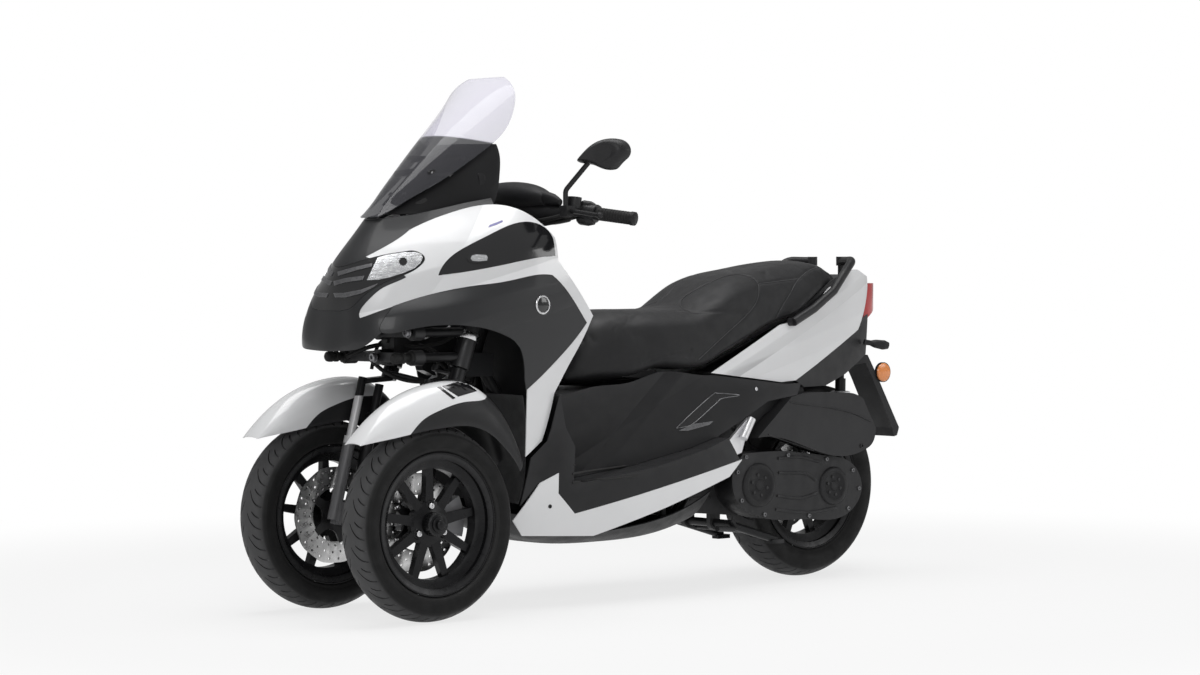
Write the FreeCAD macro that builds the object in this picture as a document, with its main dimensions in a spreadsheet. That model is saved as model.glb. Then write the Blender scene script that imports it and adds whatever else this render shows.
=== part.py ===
"""A reverse trike: a scooter with two leaning front wheels and one driven rear wheel.

Millimetres. +X points forwards, +Y to the rider's left, +Z up. The origin lies on the ground,
at the middle of the overall length and on the centre plane.
"""
import FreeCAD, Part
import math
import os

import Sketcher
from FreeCAD import Placement, Rotation, Vector

# Driving dimensions: alias, size, what it is
SIZES = [
    ("rear_overhang", 393, "rear axle to the tip of the rear mudguard"),
    ("wheel_base", 1595, "front axle to rear axle"),
    ("front_track", 470, "between the centres of the front tyres"),
    ("caster_angle", 20, "degrees that the steering axes lean back"),
    ("trail", 68, "steering axis ahead of the front contact point, on the ground"),
    ("kingpin_track", 300, "between the steering axes of the two forks"),
    ("stem_setback", 151, "handlebar's axis behind the forks' axes"),
    ("front_tyre_radius", 262, ""),
    ("front_tyre_width", 120, ""),
    ("rear_tyre_radius", 276, ""),
    ("rear_tyre_width", 140, ""),
    ("tyre_wall", 9, ""),
    ("rim_seat_radius", 178, "bead seat of a 14 inch rim"),
    ("rim_flange_height", 13, "flange above the bead seat"),
    ("rim_well_depth", 24, "drop centre below the bead seat"),
    ("rim_wall", 6, ""),
    ("front_rim_width", 94, "over the flanges"),
    ("rear_rim_width", 112, "over the flanges"),
    ("tyre_fit", 0.3, "clearance between tyre and rim"),
    ("hub_radius", 32, ""),
    ("web_radius", 62, "dished web that the spokes spring from"),
    ("web_thickness", 16, ""),
    ("spoke_root_width", 30, ""),
    ("spoke_tip_width", 21, ""),
    ("spoke_thickness", 20, ""),
    ("disc_radius", 133.5, "brake disc"),
    ("disc_thickness", 5, ""),
    ("disc_bore_radius", 20, ""),
    ("disc_window_radius", 74, "inner edge of the braking band"),
    ("disc_hole_radius", 5, ""),
    ("disc_inset", 50, "disc's middle from the wheel's middle, towards the fork"),
    ("axle_radius", 9, ""),
    ("axle_fit", 0.05, "running clearance on an axle"),
    ("fork_leg_radius", 17, ""),
    ("fork_tube_radius", 12, ""),
    ("fork_leg_spacing", 62, "between the two legs of one fork, fore and aft"),
    ("head_radius", 27, "outer radius of a steering head"),
    ("stem_radius", 14, "steering stem"),
    ("stem_fit", 0.05, "running clearance of a stem in its head"),
    ("lower_arm_height", 700, "lower tilt arm's pivots above the ground"),
    ("upper_arm_height", 768, "upper tilt arm's pivots above the ground"),
    ("tilt_arm_depth", 34, ""),
    ("tilt_arm_height", 26, ""),
    ("steer_arm_length", 62, "steering axis to ball joint"),
    ("ball_pin_radius", 5, ""),
    ("ball_pin_fit", 0.05, "running clearance in a rod's eye"),
    ("tie_rod_radius", 5.5, ""),
    ("skin", 3.5, "thickness of the moulded body panels"),
    ("panel_gap", 0.8, "gap between neighbouring body panels"),
    ("seat_fit", 0.3, "clearance where a bracket meets what it carries"),
    ("frame_tube_radius", 16, ""),
    ("bar_radius", 11, "handlebar tube"),
    ("bar_width", 814, "over the grips' ends"),
    ("grip_radius", 17, ""),
    ("grip_length", 118, ""),
    ("seat_height", 812, "top of the rider's seat"),
    ("seat_gap", 6, "between the seat's underside and what carries it"),
    ("screen_thickness", 4, ""),
    ("muffler_radius", 66, ""),
    ("pipe_radius", 20, ""),
    ("shock_radius", 24, ""),
    ("stand_tube_radius", 12, ""),
    ("stand_fit", 0.05, "running clearance of the stand's tube in the engine's lugs"),
    ("stand_length", 200, "pivot to foot"),
    ("peg_radius", 12, ""),
    ("lid_gap", 1.5, "around the fuel lid"),
    ("rack_bore_radius", 4.25, "blind bores in the grab bars for a luggage rack's M8 bolts"),
    ("rack_bore_depth", 25, ""),
    ("hinge_pin_radius", 5, "seat's hinge pin"),
    ("hinge_fit", 0.05, "running clearance of the seat's hinge pin"),
]

doc = FreeCAD.newDocument("reverse_trike")
sheet = doc.addObject("Spreadsheet::Sheet", "Sizes")
for row, (alias, size, meaning) in enumerate(SIZES, start=1):
    sheet.set("A%d" % row, str(size))
    sheet.setAlias("A%d" % row, alias)
    sheet.set("B%d" % row, meaning)
doc.recompute()


class Sizes:
    """Reads a cell of the sheet by its alias."""

    def __getattr__(self, alias):
        return float(sheet.get(alias))


s = Sizes()

# Stations worked out from the driving dimensions
DRAWN_WHEEL_BASE = 1595  # the body's stations are drawn from the rear axle for this wheel base
STRETCH_STATION = 850  # stations ahead of this one keep their distance from the front axle
overall_length = s.rear_overhang + s.wheel_base + s.front_tyre_radius
front_axle_x = overall_length / 2 - s.front_tyre_radius
rear_axle_x = front_axle_x - s.wheel_base
caster = math.radians(s.caster_angle)
UP_STEM = Vector(-math.sin(caster), 0, math.cos(caster))
AHEAD = Vector(math.cos(caster), 0, math.sin(caster))
LEFT = Vector(0, 1, 0)
FORWARDS = Vector(1, 0, 0)
UP = Vector(0, 0, 1)


def front(x, y, z):
    """A point given from the front axle."""
    return Vector(front_axle_x + x, y, z)


def rear(x, y, z):
    """A point given from the rear axle."""
    return Vector(rear_axle_x + x, y, z)


def body(x, y, z):
    """A point of the bodywork, given from the rear axle as drawn. The floor stretches."""
    if x > STRETCH_STATION:
        return front(x - DRAWN_WHEEL_BASE, y, z)
    return rear(x, y, z)


def kingpin_at(z, y=0):
    """The point of a fork's steering axis at height z."""
    return front(s.trail - z * math.tan(caster), y, z)


def stem_at(z):
    """The point of the handlebar's axis at height z."""
    return kingpin_at(z) - Vector(s.stem_setback, 0, 0)


# Helpers for solids

NODES = []


def add(label, shape):
    """A Part::Feature whose label is the node's name."""
    feature = doc.addObject("Part::Feature", label)
    feature.Label = label
    feature.Shape = shape
    NODES.append(feature)
    return feature


def fuse(*shapes):
    return shapes[0].multiFuse(list(shapes[1:])).removeSplitter()


def mirrored(shape):
    """The shape's mirror image across the centre plane."""
    return shape.mirror(Vector(0, 0, 0), LEFT)


def both_sides(shape):
    return Part.makeCompound([shape, mirrored(shape)])


def add_pair(label, shape):
    """The left piece and its mirror image, as two nodes."""
    add(label + "_left", shape)
    add(label + "_right", mirrored(shape))


def rod(start, end, radius):
    return Part.makeCylinder(radius, start.distanceToPoint(end), start, end - start)


def bent_rod(points, radius, bend):
    """A round bar along straight runs joined by tangent arcs of the bend radius."""
    edges = []
    at = points[0]
    for i in range(1, len(points) - 1):
        a, b, c = points[i - 1], points[i], points[i + 1]
        into, out = (b - a).normalize(), (c - b).normalize()
        half_turn = into.getAngle(out) / 2
        reach = bend * math.tan(half_turn)
        before, after = b - into * reach, b + out * reach
        middle = b + (out - into).normalize() * (bend / math.cos(half_turn) - bend)
        edges.append(Part.LineSegment(at, before).toShape())
        edges.append(Part.Arc(before, middle, after).toShape())
        at = after
    edges.append(Part.LineSegment(at, points[-1]).toShape())
    section = Part.Wire(Part.Circle(points[0], points[1] - points[0], radius).toShape())
    return Part.Wire(edges).makePipeShell([section], True, False)


def block(low, high):
    size = high - low
    return Part.makeBox(size.x, size.y, size.z, low)


def moved(shape, way):
    copy = shape.copy()
    copy.translate(way)
    return copy


def up_to(bar, wall, way):
    """The larger piece of a bar cut by a wall. The way points from the wall to that piece."""
    pieces = bar.cut(moved(wall, way * s.seat_fit)).Solids
    return max(pieces, key=lambda piece: piece.Volume)


def smooth(points):
    """An edge: straight through two points, or a spline through more."""
    if len(points) == 2:
        return Part.LineSegment(points[0], points[1]).toShape()
    curve = Part.BSplineCurve()
    curve.interpolate(points)
    return curve.toShape()


def outline(chains, place):
    """A closed wire. Each chain is smooth and ends where the next begins, at a corner."""
    edges = []
    for i, chain in enumerate(chains):
        nxt = chains[(i + 1) % len(chains)][0]
        edges.append(smooth([place(u, v) for u, v in chain + [nxt]]))
    return Part.Wire(Part.__sortEdges__(edges))


def side_prism(chains, y_low, y_high, shrink=0):
    """An outline in side view, drawn from the rear axle and pushed out along Y."""
    face = Part.Face(outline(chains, lambda x, z: body(x, y_low, z)))
    if shrink:
        face = face.makeOffset2D(-shrink).toNurbs()
    return face.extrude(Vector(0, y_high - y_low, 0))


def straight(*corners):
    """Chains for an outline whose sides are all straight."""
    return [[corner] for corner in corners]


def chord_parameters(lines):
    """One parameter from 0 to 1 for each point of a line, averaged over lines of equal count."""
    total = [0.0] * len(lines[0])
    for points in lines:
        run = [0.0]
        for a, b in zip(points, points[1:]):
            run.append(run[-1] + a.distanceToPoint(b))
        total = [t + r / run[-1] for t, r in zip(total, run)]
    return [t / total[-1] for t in total]


def spline_through(points, parameters):
    curve = Part.BSplineCurve()
    curve.interpolate(Points=points, Parameters=parameters)
    return curve


def surface_through(rows, across, along):
    """A smooth surface through a grid of points, with shared parameters along and across the rows."""
    lines = [spline_through(row, along) for row in rows]
    columns = list(zip(*[line.getPoles() for line in lines]))
    ribs = [spline_through(list(column), across) for column in columns]
    poles = list(zip(*[rib.getPoles() for rib in ribs]))
    surface = Part.BSplineSurface()
    surface.buildFromPolesMultsKnots(
        [list(row) for row in poles],
        ribs[0].getMultiplicities(), lines[0].getMultiplicities(),
        ribs[0].getKnots(), lines[0].getKnots(), False, False, 3, 3,
    )
    return surface


def panel(rows, thickness, inside):
    """A closed solid between a surface through the rows of points and its offset to the inside."""
    along = chord_parameters(rows)
    across = chord_parameters(list(zip(*rows)))
    outer = surface_through(rows, across, along)
    i, j = len(rows) // 2, len(rows[0]) // 2
    depth = math.copysign(thickness, outer.normal(across[i], along[j]).dot(inside - rows[i][j]))
    inner_rows = []
    for row, u in zip(rows, across):
        inner_rows.append([point + outer.normal(u, v) * depth for point, v in zip(row, along)])
    inner = surface_through(inner_rows, across, along)
    faces = [outer.toShape(), inner.toShape()]
    for a, b in (
        (outer.uIso(0), inner.uIso(0)),
        (outer.uIso(1), inner.uIso(1)),
        (outer.vIso(0), inner.vIso(0)),
        (outer.vIso(1), inner.vIso(1)),
    ):
        faces.append(Part.makeRuledSurface(a.toShape(), b.toShape()))
    shell = Part.makeShell(faces)
    shell.sewShape()
    solid = Part.makeSolid(shell)
    if solid.Volume < 0:
        solid.reverse()
    return solid


def bowed_row(z, centre_x, edge_x, edge_y, count, bow=2.2):
    """Points of a level line that bows from the centre plane to the edge, over the full width."""
    points = []
    for i in range(-count, count + 1):
        t = i / count
        points.append(body(centre_x + (edge_x - centre_x) * abs(t) ** bow, edge_y * t, z))
    return points


# Helpers for bodies with sketches bound to the sheet


def origin_plane(owner, role):
    return [f for f in owner.Origin.OriginFeatures if f.Role == role][0]


def new_body(label, placement):
    owner = doc.addObject("PartDesign::Body", label)
    owner.Label = label
    owner.Placement = placement
    NODES.append(owner)
    return owner


def new_sketch(owner, name, role):
    sketch = owner.newObject("Sketcher::SketchObject", name)
    sketch.AttachmentSupport = [(origin_plane(owner, role), "")]
    sketch.MapMode = "FlatFace"
    return sketch


def bind(sketch, kind, where, expression, number):
    k = sketch.addConstraint(Sketcher.Constraint(kind, *where, number))
    sketch.setExpression("Constraints[%d]" % k, expression)


def bound_outline(owner, name, role, corners):
    """A closed straight-sided sketch. Each corner is a pair of expressions on the sheet."""
    sketch = new_sketch(owner, name, role)
    at = [(float(sheet.evalExpression(u)), float(sheet.evalExpression(v))) for u, v in corners]
    count = len(at)
    for i in range(count):
        (u0, v0), (u1, v1) = at[i], at[(i + 1) % count]
        sketch.addGeometry(Part.LineSegment(Vector(u0, v0, 0), Vector(u1, v1, 0)), False)
    for i in range(count):
        sketch.addConstraint(Sketcher.Constraint("Coincident", i, 2, (i + 1) % count, 1))
    for i, (u, v) in enumerate(corners):
        bind(sketch, "DistanceX", (-1, 1, i, 1), u, at[i][0])
        bind(sketch, "DistanceY", (-1, 1, i, 1), v, at[i][1])
    return sketch


def bound_circle(owner, name, role, u, v, radius):
    """A circle whose middle and radius are expressions on the sheet."""
    sketch = new_sketch(owner, name, role)
    x, y, r = [float(sheet.evalExpression(e)) for e in (u, v, radius)]
    sketch.addGeometry(Part.Circle(Vector(x, y, 0), Vector(0, 0, 1), r), False)
    bind(sketch, "DistanceX", (-1, 1, 0, 3), u, x)
    bind(sketch, "DistanceY", (-1, 1, 0, 3), v, y)
    bind(sketch, "Radius", (0,), radius, r)
    return sketch


def revolve(owner, name, sketch):
    feature = owner.newObject("PartDesign::Revolution", name)
    feature.Profile = sketch
    feature.ReferenceAxis = (sketch, ["V_Axis"])
    feature.Angle = 360
    return feature


def pad(owner, name, sketch, thickness):
    """A pad that reaches half its thickness to each side of the sketch."""
    feature = owner.newObject("PartDesign::Pad", name)
    feature.Profile = sketch
    feature.SideType = "Symmetric"
    feature.setExpression("Length", thickness)
    return feature


def cut_through(owner, name, sketch):
    feature = owner.newObject("PartDesign::Pocket", name)
    feature.Profile = sketch
    feature.SideType = "Symmetric"
    feature.Type = "ThroughAll"
    return feature


def polar(owner, name, feature, sketch, count):
    """Copies of a feature round the wheel's axis, which is the normal of its sketch."""
    pattern = owner.newObject("PartDesign::PolarPattern", name)
    pattern.Originals = [feature]
    pattern.Axis = (sketch, ["N_Axis"])
    pattern.Angle = 360
    pattern.Occurrences = count
    owner.Tip = pattern
    return pattern


# Wheels, turned about their own Y axis

SPOKES = 9
DISC_HOLES = 12
DISC_WINDOWS = 5


def add_rim(label, middle, rim_width, hub_in, hub_out):
    """A cast wheel. hub_in and hub_out are the hub's reach inboard and outboard, as expressions."""
    side = 1 if middle.y >= 0 else -1
    turn = Rotation() if side > 0 else Rotation(Vector(0, 0, 1), 180)
    owner = new_body(label, Placement(middle, turn))
    half = "Sizes.%s / 2" % rim_width
    seat = "Sizes.rim_seat_radius"
    lip = "Sizes.rim_seat_radius + Sizes.rim_flange_height"
    well = "Sizes.rim_seat_radius - Sizes.rim_well_depth"
    under = "Sizes.rim_seat_radius - Sizes.rim_wall"
    floor = well + " - Sizes.rim_wall"
    profile = []
    for sign in ("-", ""):
        edge = [
            (floor, sign + "(%s - 30)" % half),
            (under, sign + "(%s - 18)" % half),
            (under, sign + "(%s - 6)" % half),
            (lip, sign + "(%s)" % half),
            (lip, sign + "(%s - 5)" % half),
            (seat, sign + "(%s - 9)" % half),
            (seat, sign + "(%s - 24)" % half),
            (well, sign + "(%s - 32)" % half),
        ]
        profile += edge if sign == "-" else edge[::-1]
    barrel = revolve(owner, label + "_barrel", bound_outline(owner, label + "_rim", "XY_Plane", profile))
    bore = "Sizes.axle_radius + Sizes.axle_fit"
    hub = [
        (bore, "-(%s)" % hub_in),
        ("Sizes.hub_radius", "-(%s)" % hub_in),
        ("Sizes.hub_radius", "-Sizes.web_thickness / 2 - 8"),
        ("Sizes.web_radius", "-Sizes.web_thickness / 2"),
        ("Sizes.web_radius", "Sizes.web_thickness / 2"),
        ("Sizes.hub_radius", "Sizes.web_thickness / 2 + 8"),
        ("Sizes.hub_radius", hub_out),
        (bore, hub_out),
    ]
    spoke = [
        ("-Sizes.spoke_root_width / 2", "Sizes.hub_radius - 2"),
        ("Sizes.spoke_root_width / 2", "Sizes.hub_radius - 2"),
        ("Sizes.spoke_tip_width / 2", floor + " + 3"),
        ("-Sizes.spoke_tip_width / 2", floor + " + 3"),
    ]
    spoke_sketch = bound_outline(owner, label + "_spoke", "XZ_Plane", spoke)
    revolve(owner, label + "_hub", bound_outline(owner, label + "_web", "XY_Plane", hub))
    first = pad(owner, label + "_arm", spoke_sketch, "Sizes.spoke_thickness")
    polar(owner, label + "_arms", first, spoke_sketch, SPOKES)
    return owner


def add_tyre(label, middle, radius, width, rim_width):
    """A hollow tyre: crown, side walls and beads, revolved about the axle."""
    rim_half = rim_width / 2
    bead = s.rim_seat_radius + s.tyre_fit
    lip = s.rim_seat_radius + s.rim_flange_height
    wall = s.tyre_wall
    half = width / 2
    shoulder = radius - 0.17 * width
    waist = (radius + lip) / 2 - 4

    def at(r, y):
        return Vector(r, y, 0)

    outer = [at(lip + 2, rim_half - 4), at(waist, half), at(shoulder, half - 7)]
    inner = [at(bead + 14, rim_half - 16), at(waist, half - wall), at(shoulder - 4, half - wall - 9)]
    foot = rim_half - 5 - s.tyre_fit
    heel = rim_half - 9.3 - s.tyre_fit
    edges = []
    for sign in (1, -1):
        def flip(point):
            return Vector(point.x, sign * point.y, 0)

        edges.append(Part.Arc(*[flip(p) for p in outer]).toShape())
        edges.append(Part.Arc(*[flip(p) for p in inner]).toShape())
        corners = [outer[0], at(lip, foot), at(bead, heel), at(bead, rim_half - 22), inner[0]]
        for a, b in zip(corners, corners[1:]):
            edges.append(Part.LineSegment(flip(a), flip(b)).toShape())
    for side, top in ((outer[2], radius), (inner[2], radius - wall)):
        edges.append(Part.Arc(side, at(top, 0), Vector(side.x, -side.y, 0)).toShape())
    section = Part.Face(Part.Wire(Part.__sortEdges__(edges)))
    shape = section.revolve(Vector(0, 0, 0), LEFT, 360)
    add(label, shape)
    NODES[-1].Placement = Placement(middle, Rotation())


def add_disc(label, middle):
    """A drilled brake disc with windows between its arms."""
    owner = new_body(label, Placement(middle, Rotation()))
    half = "Sizes.disc_thickness / 2"
    band = [
        ("Sizes.disc_bore_radius", "-" + half),
        ("Sizes.disc_radius", "-" + half),
        ("Sizes.disc_radius", half),
        ("Sizes.disc_bore_radius", half),
    ]
    revolve(owner, label + "_plate", bound_outline(owner, label + "_band", "XY_Plane", band))
    low = "Sizes.disc_bore_radius + 26"
    window = [
        ("-17", low),
        ("17", low),
        ("32", "Sizes.disc_window_radius"),
        ("-32", "Sizes.disc_window_radius"),
    ]
    window_sketch = bound_outline(owner, label + "_window", "XZ_Plane", window)
    opening = cut_through(owner, label + "_opening", window_sketch)
    polar(owner, label + "_windows", opening, window_sketch, DISC_WINDOWS)
    middle_of_band = "(Sizes.disc_radius + Sizes.disc_window_radius) / 2"
    radius = "Sizes.disc_hole_radius"
    hole_sketch = bound_circle(owner, label + "_hole", "XZ_Plane", "0", middle_of_band, radius)
    hole = cut_through(owner, label + "_drilling", hole_sketch)
    polar(owner, label + "_drillings", hole, hole_sketch, DISC_HOLES)
    return owner


front_wheel_left = front(0, s.front_track / 2, s.front_tyre_radius)
front_wheel_right = front(0, -s.front_track / 2, s.front_tyre_radius)
rear_wheel = rear(0, 0, s.rear_tyre_radius)
inboard = "(Sizes.disc_inset - Sizes.disc_thickness / 2)"
front_outer = "(Sizes.front_rim_width / 2 - 2)"
add_rim("rim_front_left", front_wheel_left, "front_rim_width", inboard, front_outer)
add_rim("rim_front_right", front_wheel_right, "front_rim_width", inboard, front_outer)
rear_hub = "(Sizes.rear_rim_width / 2 + 4)"
add_rim("rim_rear", rear_wheel, "rear_rim_width", rear_hub, rear_hub)
front_size = (s.front_tyre_radius, s.front_tyre_width, s.front_rim_width)
add_tyre("tyre_front_left", front_wheel_left, *front_size)
add_tyre("tyre_front_right", front_wheel_right, *front_size)
add_tyre("tyre_rear", rear_wheel, s.rear_tyre_radius, s.rear_tyre_width, s.rear_rim_width)
add_disc("disc_front_left", front_wheel_left - LEFT * s.disc_inset)
add_disc("disc_front_right", front_wheel_right + LEFT * s.disc_inset)
REAR_DISC_Y = -(s.rear_rim_width / 2 + 4 + s.disc_thickness / 2)
add_disc("disc_rear", rear_wheel + LEFT * REAR_DISC_Y)

# Front suspension, left side. The parts of one fork turn about its kingpin.

kingpin_y = s.kingpin_track / 2
LEG_FOOT = Vector(31, 0, 251)
LEG_TOP = Vector(-74, 0, 640)
LINK_HEIGHT = 600  # the plane of the tie rods crosses the handlebar's axis at this height
HEAD_LOW = 22  # foot of a side head above the plane of the tie rods, along the axis
ROD_LEVEL = 9  # the two rods cross, one above the plane and one below
ARM_PLATE = 5.4  # thickness of the steering arms


def in_link_plane(axis_point, ahead, left, level=0):
    """A point from an axis, in the plane of the tie rods."""
    return axis_point + AHEAD * ahead + LEFT * left + UP_STEM * level


stem_link = stem_at(LINK_HEIGHT)
link_rise = s.stem_setback * math.cos(caster) * math.sin(caster)
kingpin_link = kingpin_at(LINK_HEIGHT + link_rise)
link_ahead = s.stem_setback * math.cos(caster)
link_length = math.hypot(link_ahead, kingpin_y)
arm_ahead = s.steer_arm_length * kingpin_y / link_length
arm_left = -s.steer_arm_length * link_ahead / link_length


def steer_arm(axis_point, level):
    """A plate from a steering axis to its ball pin, with the pin up or down."""
    end = in_link_plane(axis_point, arm_ahead, arm_left)
    half = UP_STEM * (ARM_PLATE / 2)
    across = (end - axis_point).cross(UP_STEM).normalize()
    corners = [
        axis_point + across * 15,
        end + across * 8,
        end - across * 8,
        axis_point - across * 15,
    ]
    plate = Part.Face(Part.makePolygon([c - half for c in corners + corners[:1]])).extrude(half * 2)
    boss = rod(end - half, end + half, 9)
    pin = rod(end, end + UP_STEM * level, s.ball_pin_radius)
    return fuse(plate, boss, pin)


PIN_REACH = 17  # length of a ball pin from its arm
CALIPER_ANGLE = 252  # turns the caliper behind the axle, a little above it
left_foot = front(LEG_FOOT.x, kingpin_y, LEG_FOOT.z)
left_top = front(LEG_TOP.x, kingpin_y, LEG_TOP.z)
leg_way = (left_top - left_foot).normalize()
leg_back = Vector(-leg_way.z, 0, leg_way.x) * s.fork_leg_spacing
if leg_back.x > 0:
    leg_back = leg_back * -1


def fork():
    """The left fork: stem, crown, two legs, axle and caliper."""
    pin_axis = kingpin_at(LINK_HEIGHT + link_rise, kingpin_y)
    stem = rod(pin_axis - UP_STEM * 16, pin_axis + UP_STEM * 158, s.stem_radius)
    cap = rod(pin_axis + UP_STEM * 150, pin_axis + UP_STEM * 160, s.stem_radius + 7)
    crown_low = pin_axis - UP_STEM * 16
    hub = rod(crown_low, pin_axis + UP_STEM * 18, s.stem_radius + 8)
    ends = [crown_section(crown_low, 21), crown_section(left_top - leg_way * 12, 18)]
    bridge = Part.makeLoft(ends, True, True)
    crown = fuse(hub, bridge)
    upper = rod(left_foot + leg_way * 190, left_top, s.fork_tube_radius)
    lower = rod(left_foot, left_foot + leg_way * 235, s.fork_leg_radius)
    rear_foot = left_foot + leg_back
    rear_lower = rod(rear_foot + leg_way * 30, rear_foot + leg_way * 250, s.fork_leg_radius)
    rear_upper = rod(rear_foot + leg_way * 200, left_top + leg_back * 0.98 - leg_way * 6, s.fork_tube_radius)
    hub_face = front_wheel_left.y - (s.disc_inset - s.disc_thickness / 2)
    carrier = carrier_block(hub_face)
    axle = rod(
        Vector(front_wheel_left.x, kingpin_y, front_wheel_left.z),
        Vector(front_wheel_left.x, front_wheel_left.y + s.front_rim_width / 2 + 4, front_wheel_left.z),
        s.axle_radius,
    )
    arm = steer_arm(pin_axis, PIN_REACH)
    return fuse(stem, cap, crown, upper, lower, rear_lower, rear_upper, carrier, axle, caliper(), arm)


def crown_section(middle, half_width):
    """A flat section of the crown, across the vehicle."""
    low, high = -6, 9
    corners = [
        middle + LEFT * half_width + UP_STEM * low,
        middle + LEFT * half_width + UP_STEM * high,
        middle - LEFT * half_width + UP_STEM * high,
        middle - LEFT * half_width + UP_STEM * low,
    ]
    return Part.makePolygon(corners + corners[:1])


def carrier_block(hub_face):
    """The casting at the foot of the legs that holds the axle."""
    axle_point = Vector(front_wheel_left.x, kingpin_y, front_wheel_left.z)
    inner, outer = kingpin_y - 13, kingpin_y + s.fork_leg_radius
    ring = Part.makeCylinder(26, outer - inner, Vector(axle_point.x, inner, axle_point.z), LEFT)
    spacer = Part.makeCylinder(15, hub_face - 0.3 - inner, Vector(axle_point.x, inner, axle_point.z), LEFT)
    web_corners = [
        left_foot - leg_way * 10,
        left_foot + leg_way * 45,
        left_foot + leg_back + leg_way * 80,
        left_foot + leg_back + leg_way * 25,
        axle_point - Vector(20, 0, 22),
        axle_point - Vector(-10, 0, 26),
    ]
    flat = [Vector(c.x, inner, c.z) for c in web_corners]
    web = Part.Face(Part.makePolygon(flat + flat[:1])).extrude(Vector(0, outer - inner - 6, 0))
    return fuse(ring, spacer, web)


def caliper():
    """The brake caliper astride the disc, behind the axle."""
    middle = Vector(front_wheel_left.x, front_wheel_left.y - s.disc_inset, front_wheel_left.z)
    reach_in, reach_out = 15, 26
    arc_low, arc_high = s.disc_radius - 52, s.disc_radius + 8
    slot = s.disc_thickness / 2 + 1.2
    outer = Part.makeCylinder(arc_high, reach_in + reach_out, Vector(0, -reach_in, 0), LEFT, 46)
    inner = Part.makeCylinder(arc_low, reach_in + reach_out, Vector(0, -reach_in, 0), LEFT, 46)
    groove = Part.makeCylinder(s.disc_radius + 2, slot * 2, Vector(0, -slot, 0), LEFT, 46)
    shape = outer.cut(inner).cut(groove)
    shape.Placement = Placement(middle, Rotation(LEFT, CALIPER_ANGLE))
    inner_y, plate = kingpin_y - 12, 12
    hub = Vector(middle.x, inner_y, middle.z)
    corners = [(0, 24), (-112, 34), (-112, -8), (0, -24)]
    corners = [hub + Vector(x, 0, z) for x, z in corners]
    arm = Part.Face(Part.makePolygon(corners + corners[:1])).extrude(LEFT * plate)
    lugs = []
    for rise in (26, -2):
        start = hub + Vector(-101, 0, rise)
        lugs.append(rod(start, Vector(start.x, middle.y - slot - 1, start.z), 8))
    return fuse(shape, arm, *lugs)


# Fenders. Stations run along the crown from the tip to the rear end.

FENDER_STATIONS = [
    # crown x and z, lower edge x and z, half width, all from the front axle
    (247, 486, 245, 480, 34),
    (205, 532, 196, 490, 50),
    (150, 576, 132, 500, 58),
    (80, 612, 60, 512, 62),
    (0, 634, -20, 520, 64),
    (-80, 640, -95, 520, 64),
    (-150, 624, -160, 500, 64),
    (-212, 580, -205, 468, 63),
    (-262, 510, -245, 430, 61),
    (-298, 425, -272, 392, 58),
]
FENDER_BOW = [-90, -72, -52, -28, 0, 28, 52, 72, 90]


def fender_rows():
    rows = []
    for crown_x, crown_z, edge_x, edge_z, half_width in FENDER_STATIONS:
        points = []
        for degrees in FENDER_BOW:
            bow = math.radians(degrees)
            lift = math.cos(bow) ** 0.8
            y = s.front_track / 2 + half_width * math.sin(bow)
            points.append(front(edge_x + (crown_x - edge_x) * lift, y, edge_z + (crown_z - edge_z) * lift))
        rows.append(points)
    return rows


fender_shell = panel(fender_rows(), s.skin, front(-40, s.front_track / 2, 400))
FENDER_SPLIT = [(1729, 470), (1700, 500), (1660, 538), (1595, 566), (1505, 585), (1410, 601), (1385, 640)]
fender_top = [FENDER_SPLIT, [(1385, 700)], [(1880, 700)], [(1880, 470)]]
fender_low = [FENDER_SPLIT, [(1385, 700)], [(1200, 700)], [(1200, 330)], [(1729, 330)]]
add_pair("fender", fender_shell.common(side_prism(fender_top, 100, 400, s.panel_gap / 2)))
add_pair("fender_skirt", fender_shell.common(side_prism(fender_low, 100, 400, s.panel_gap / 2)))

stay_foot = front(-108, kingpin_y, 535)
fender_stay = up_to(rod(stay_foot, stay_foot + LEFT * 40, 8), fender_shell, LEFT * -1)
add_pair("fork", fuse(fork(), fender_stay))

# Steering: side heads, tilt arms, handlebar and tie rods

TILT_ARM_X = -30  # middle of the tilt arms, from the front axle
TILT_PIN_RADIUS = 8


def side_head():
    """The upright at the outer end of the tilt arms that carries a kingpin."""
    axis = kingpin_at(LINK_HEIGHT + link_rise, kingpin_y)
    low, high = axis + UP_STEM * HEAD_LOW, axis + UP_STEM * 149
    shape = rod(low, high, s.head_radius)
    for height in (s.lower_arm_height, s.upper_arm_height):
        back = kingpin_at(height, kingpin_y)
        tip = front(TILT_ARM_X - s.tilt_arm_depth / 2 - 0.3, kingpin_y, height)
        shape = shape.fuse(rod(back, tip, 13))
        pin = rod(tip, tip + Vector(s.tilt_arm_depth + 10, 0, 0), TILT_PIN_RADIUS)
        shape = shape.fuse(pin)
    return shape.cut(rod(low - UP_STEM, high + UP_STEM, s.stem_radius + s.stem_fit)).removeSplitter()


add("side_heads", both_sides(side_head()))


def tilt_arm(height):
    """A tilt arm across the vehicle, with an eye at each end and one in the middle."""
    x0 = TILT_ARM_X - s.tilt_arm_depth / 2
    x1 = x0 + s.tilt_arm_depth
    ways = (-kingpin_y, 0, kingpin_y)
    half = s.tilt_arm_height / 2
    beam = block(front(x0, -kingpin_y, height - half), front(x1, kingpin_y, height + half))
    eyes = [rod(front(x0, y, height), front(x1, y, height), 21) for y in ways]
    bores = [rod(front(x0, y, height), front(x1, y, height), TILT_PIN_RADIUS + 0.05) for y in ways]
    return fuse(beam, *eyes).cut(Part.makeCompound(bores))


add("tilt_arms", Part.makeCompound([tilt_arm(s.lower_arm_height), tilt_arm(s.upper_arm_height)]))


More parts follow.
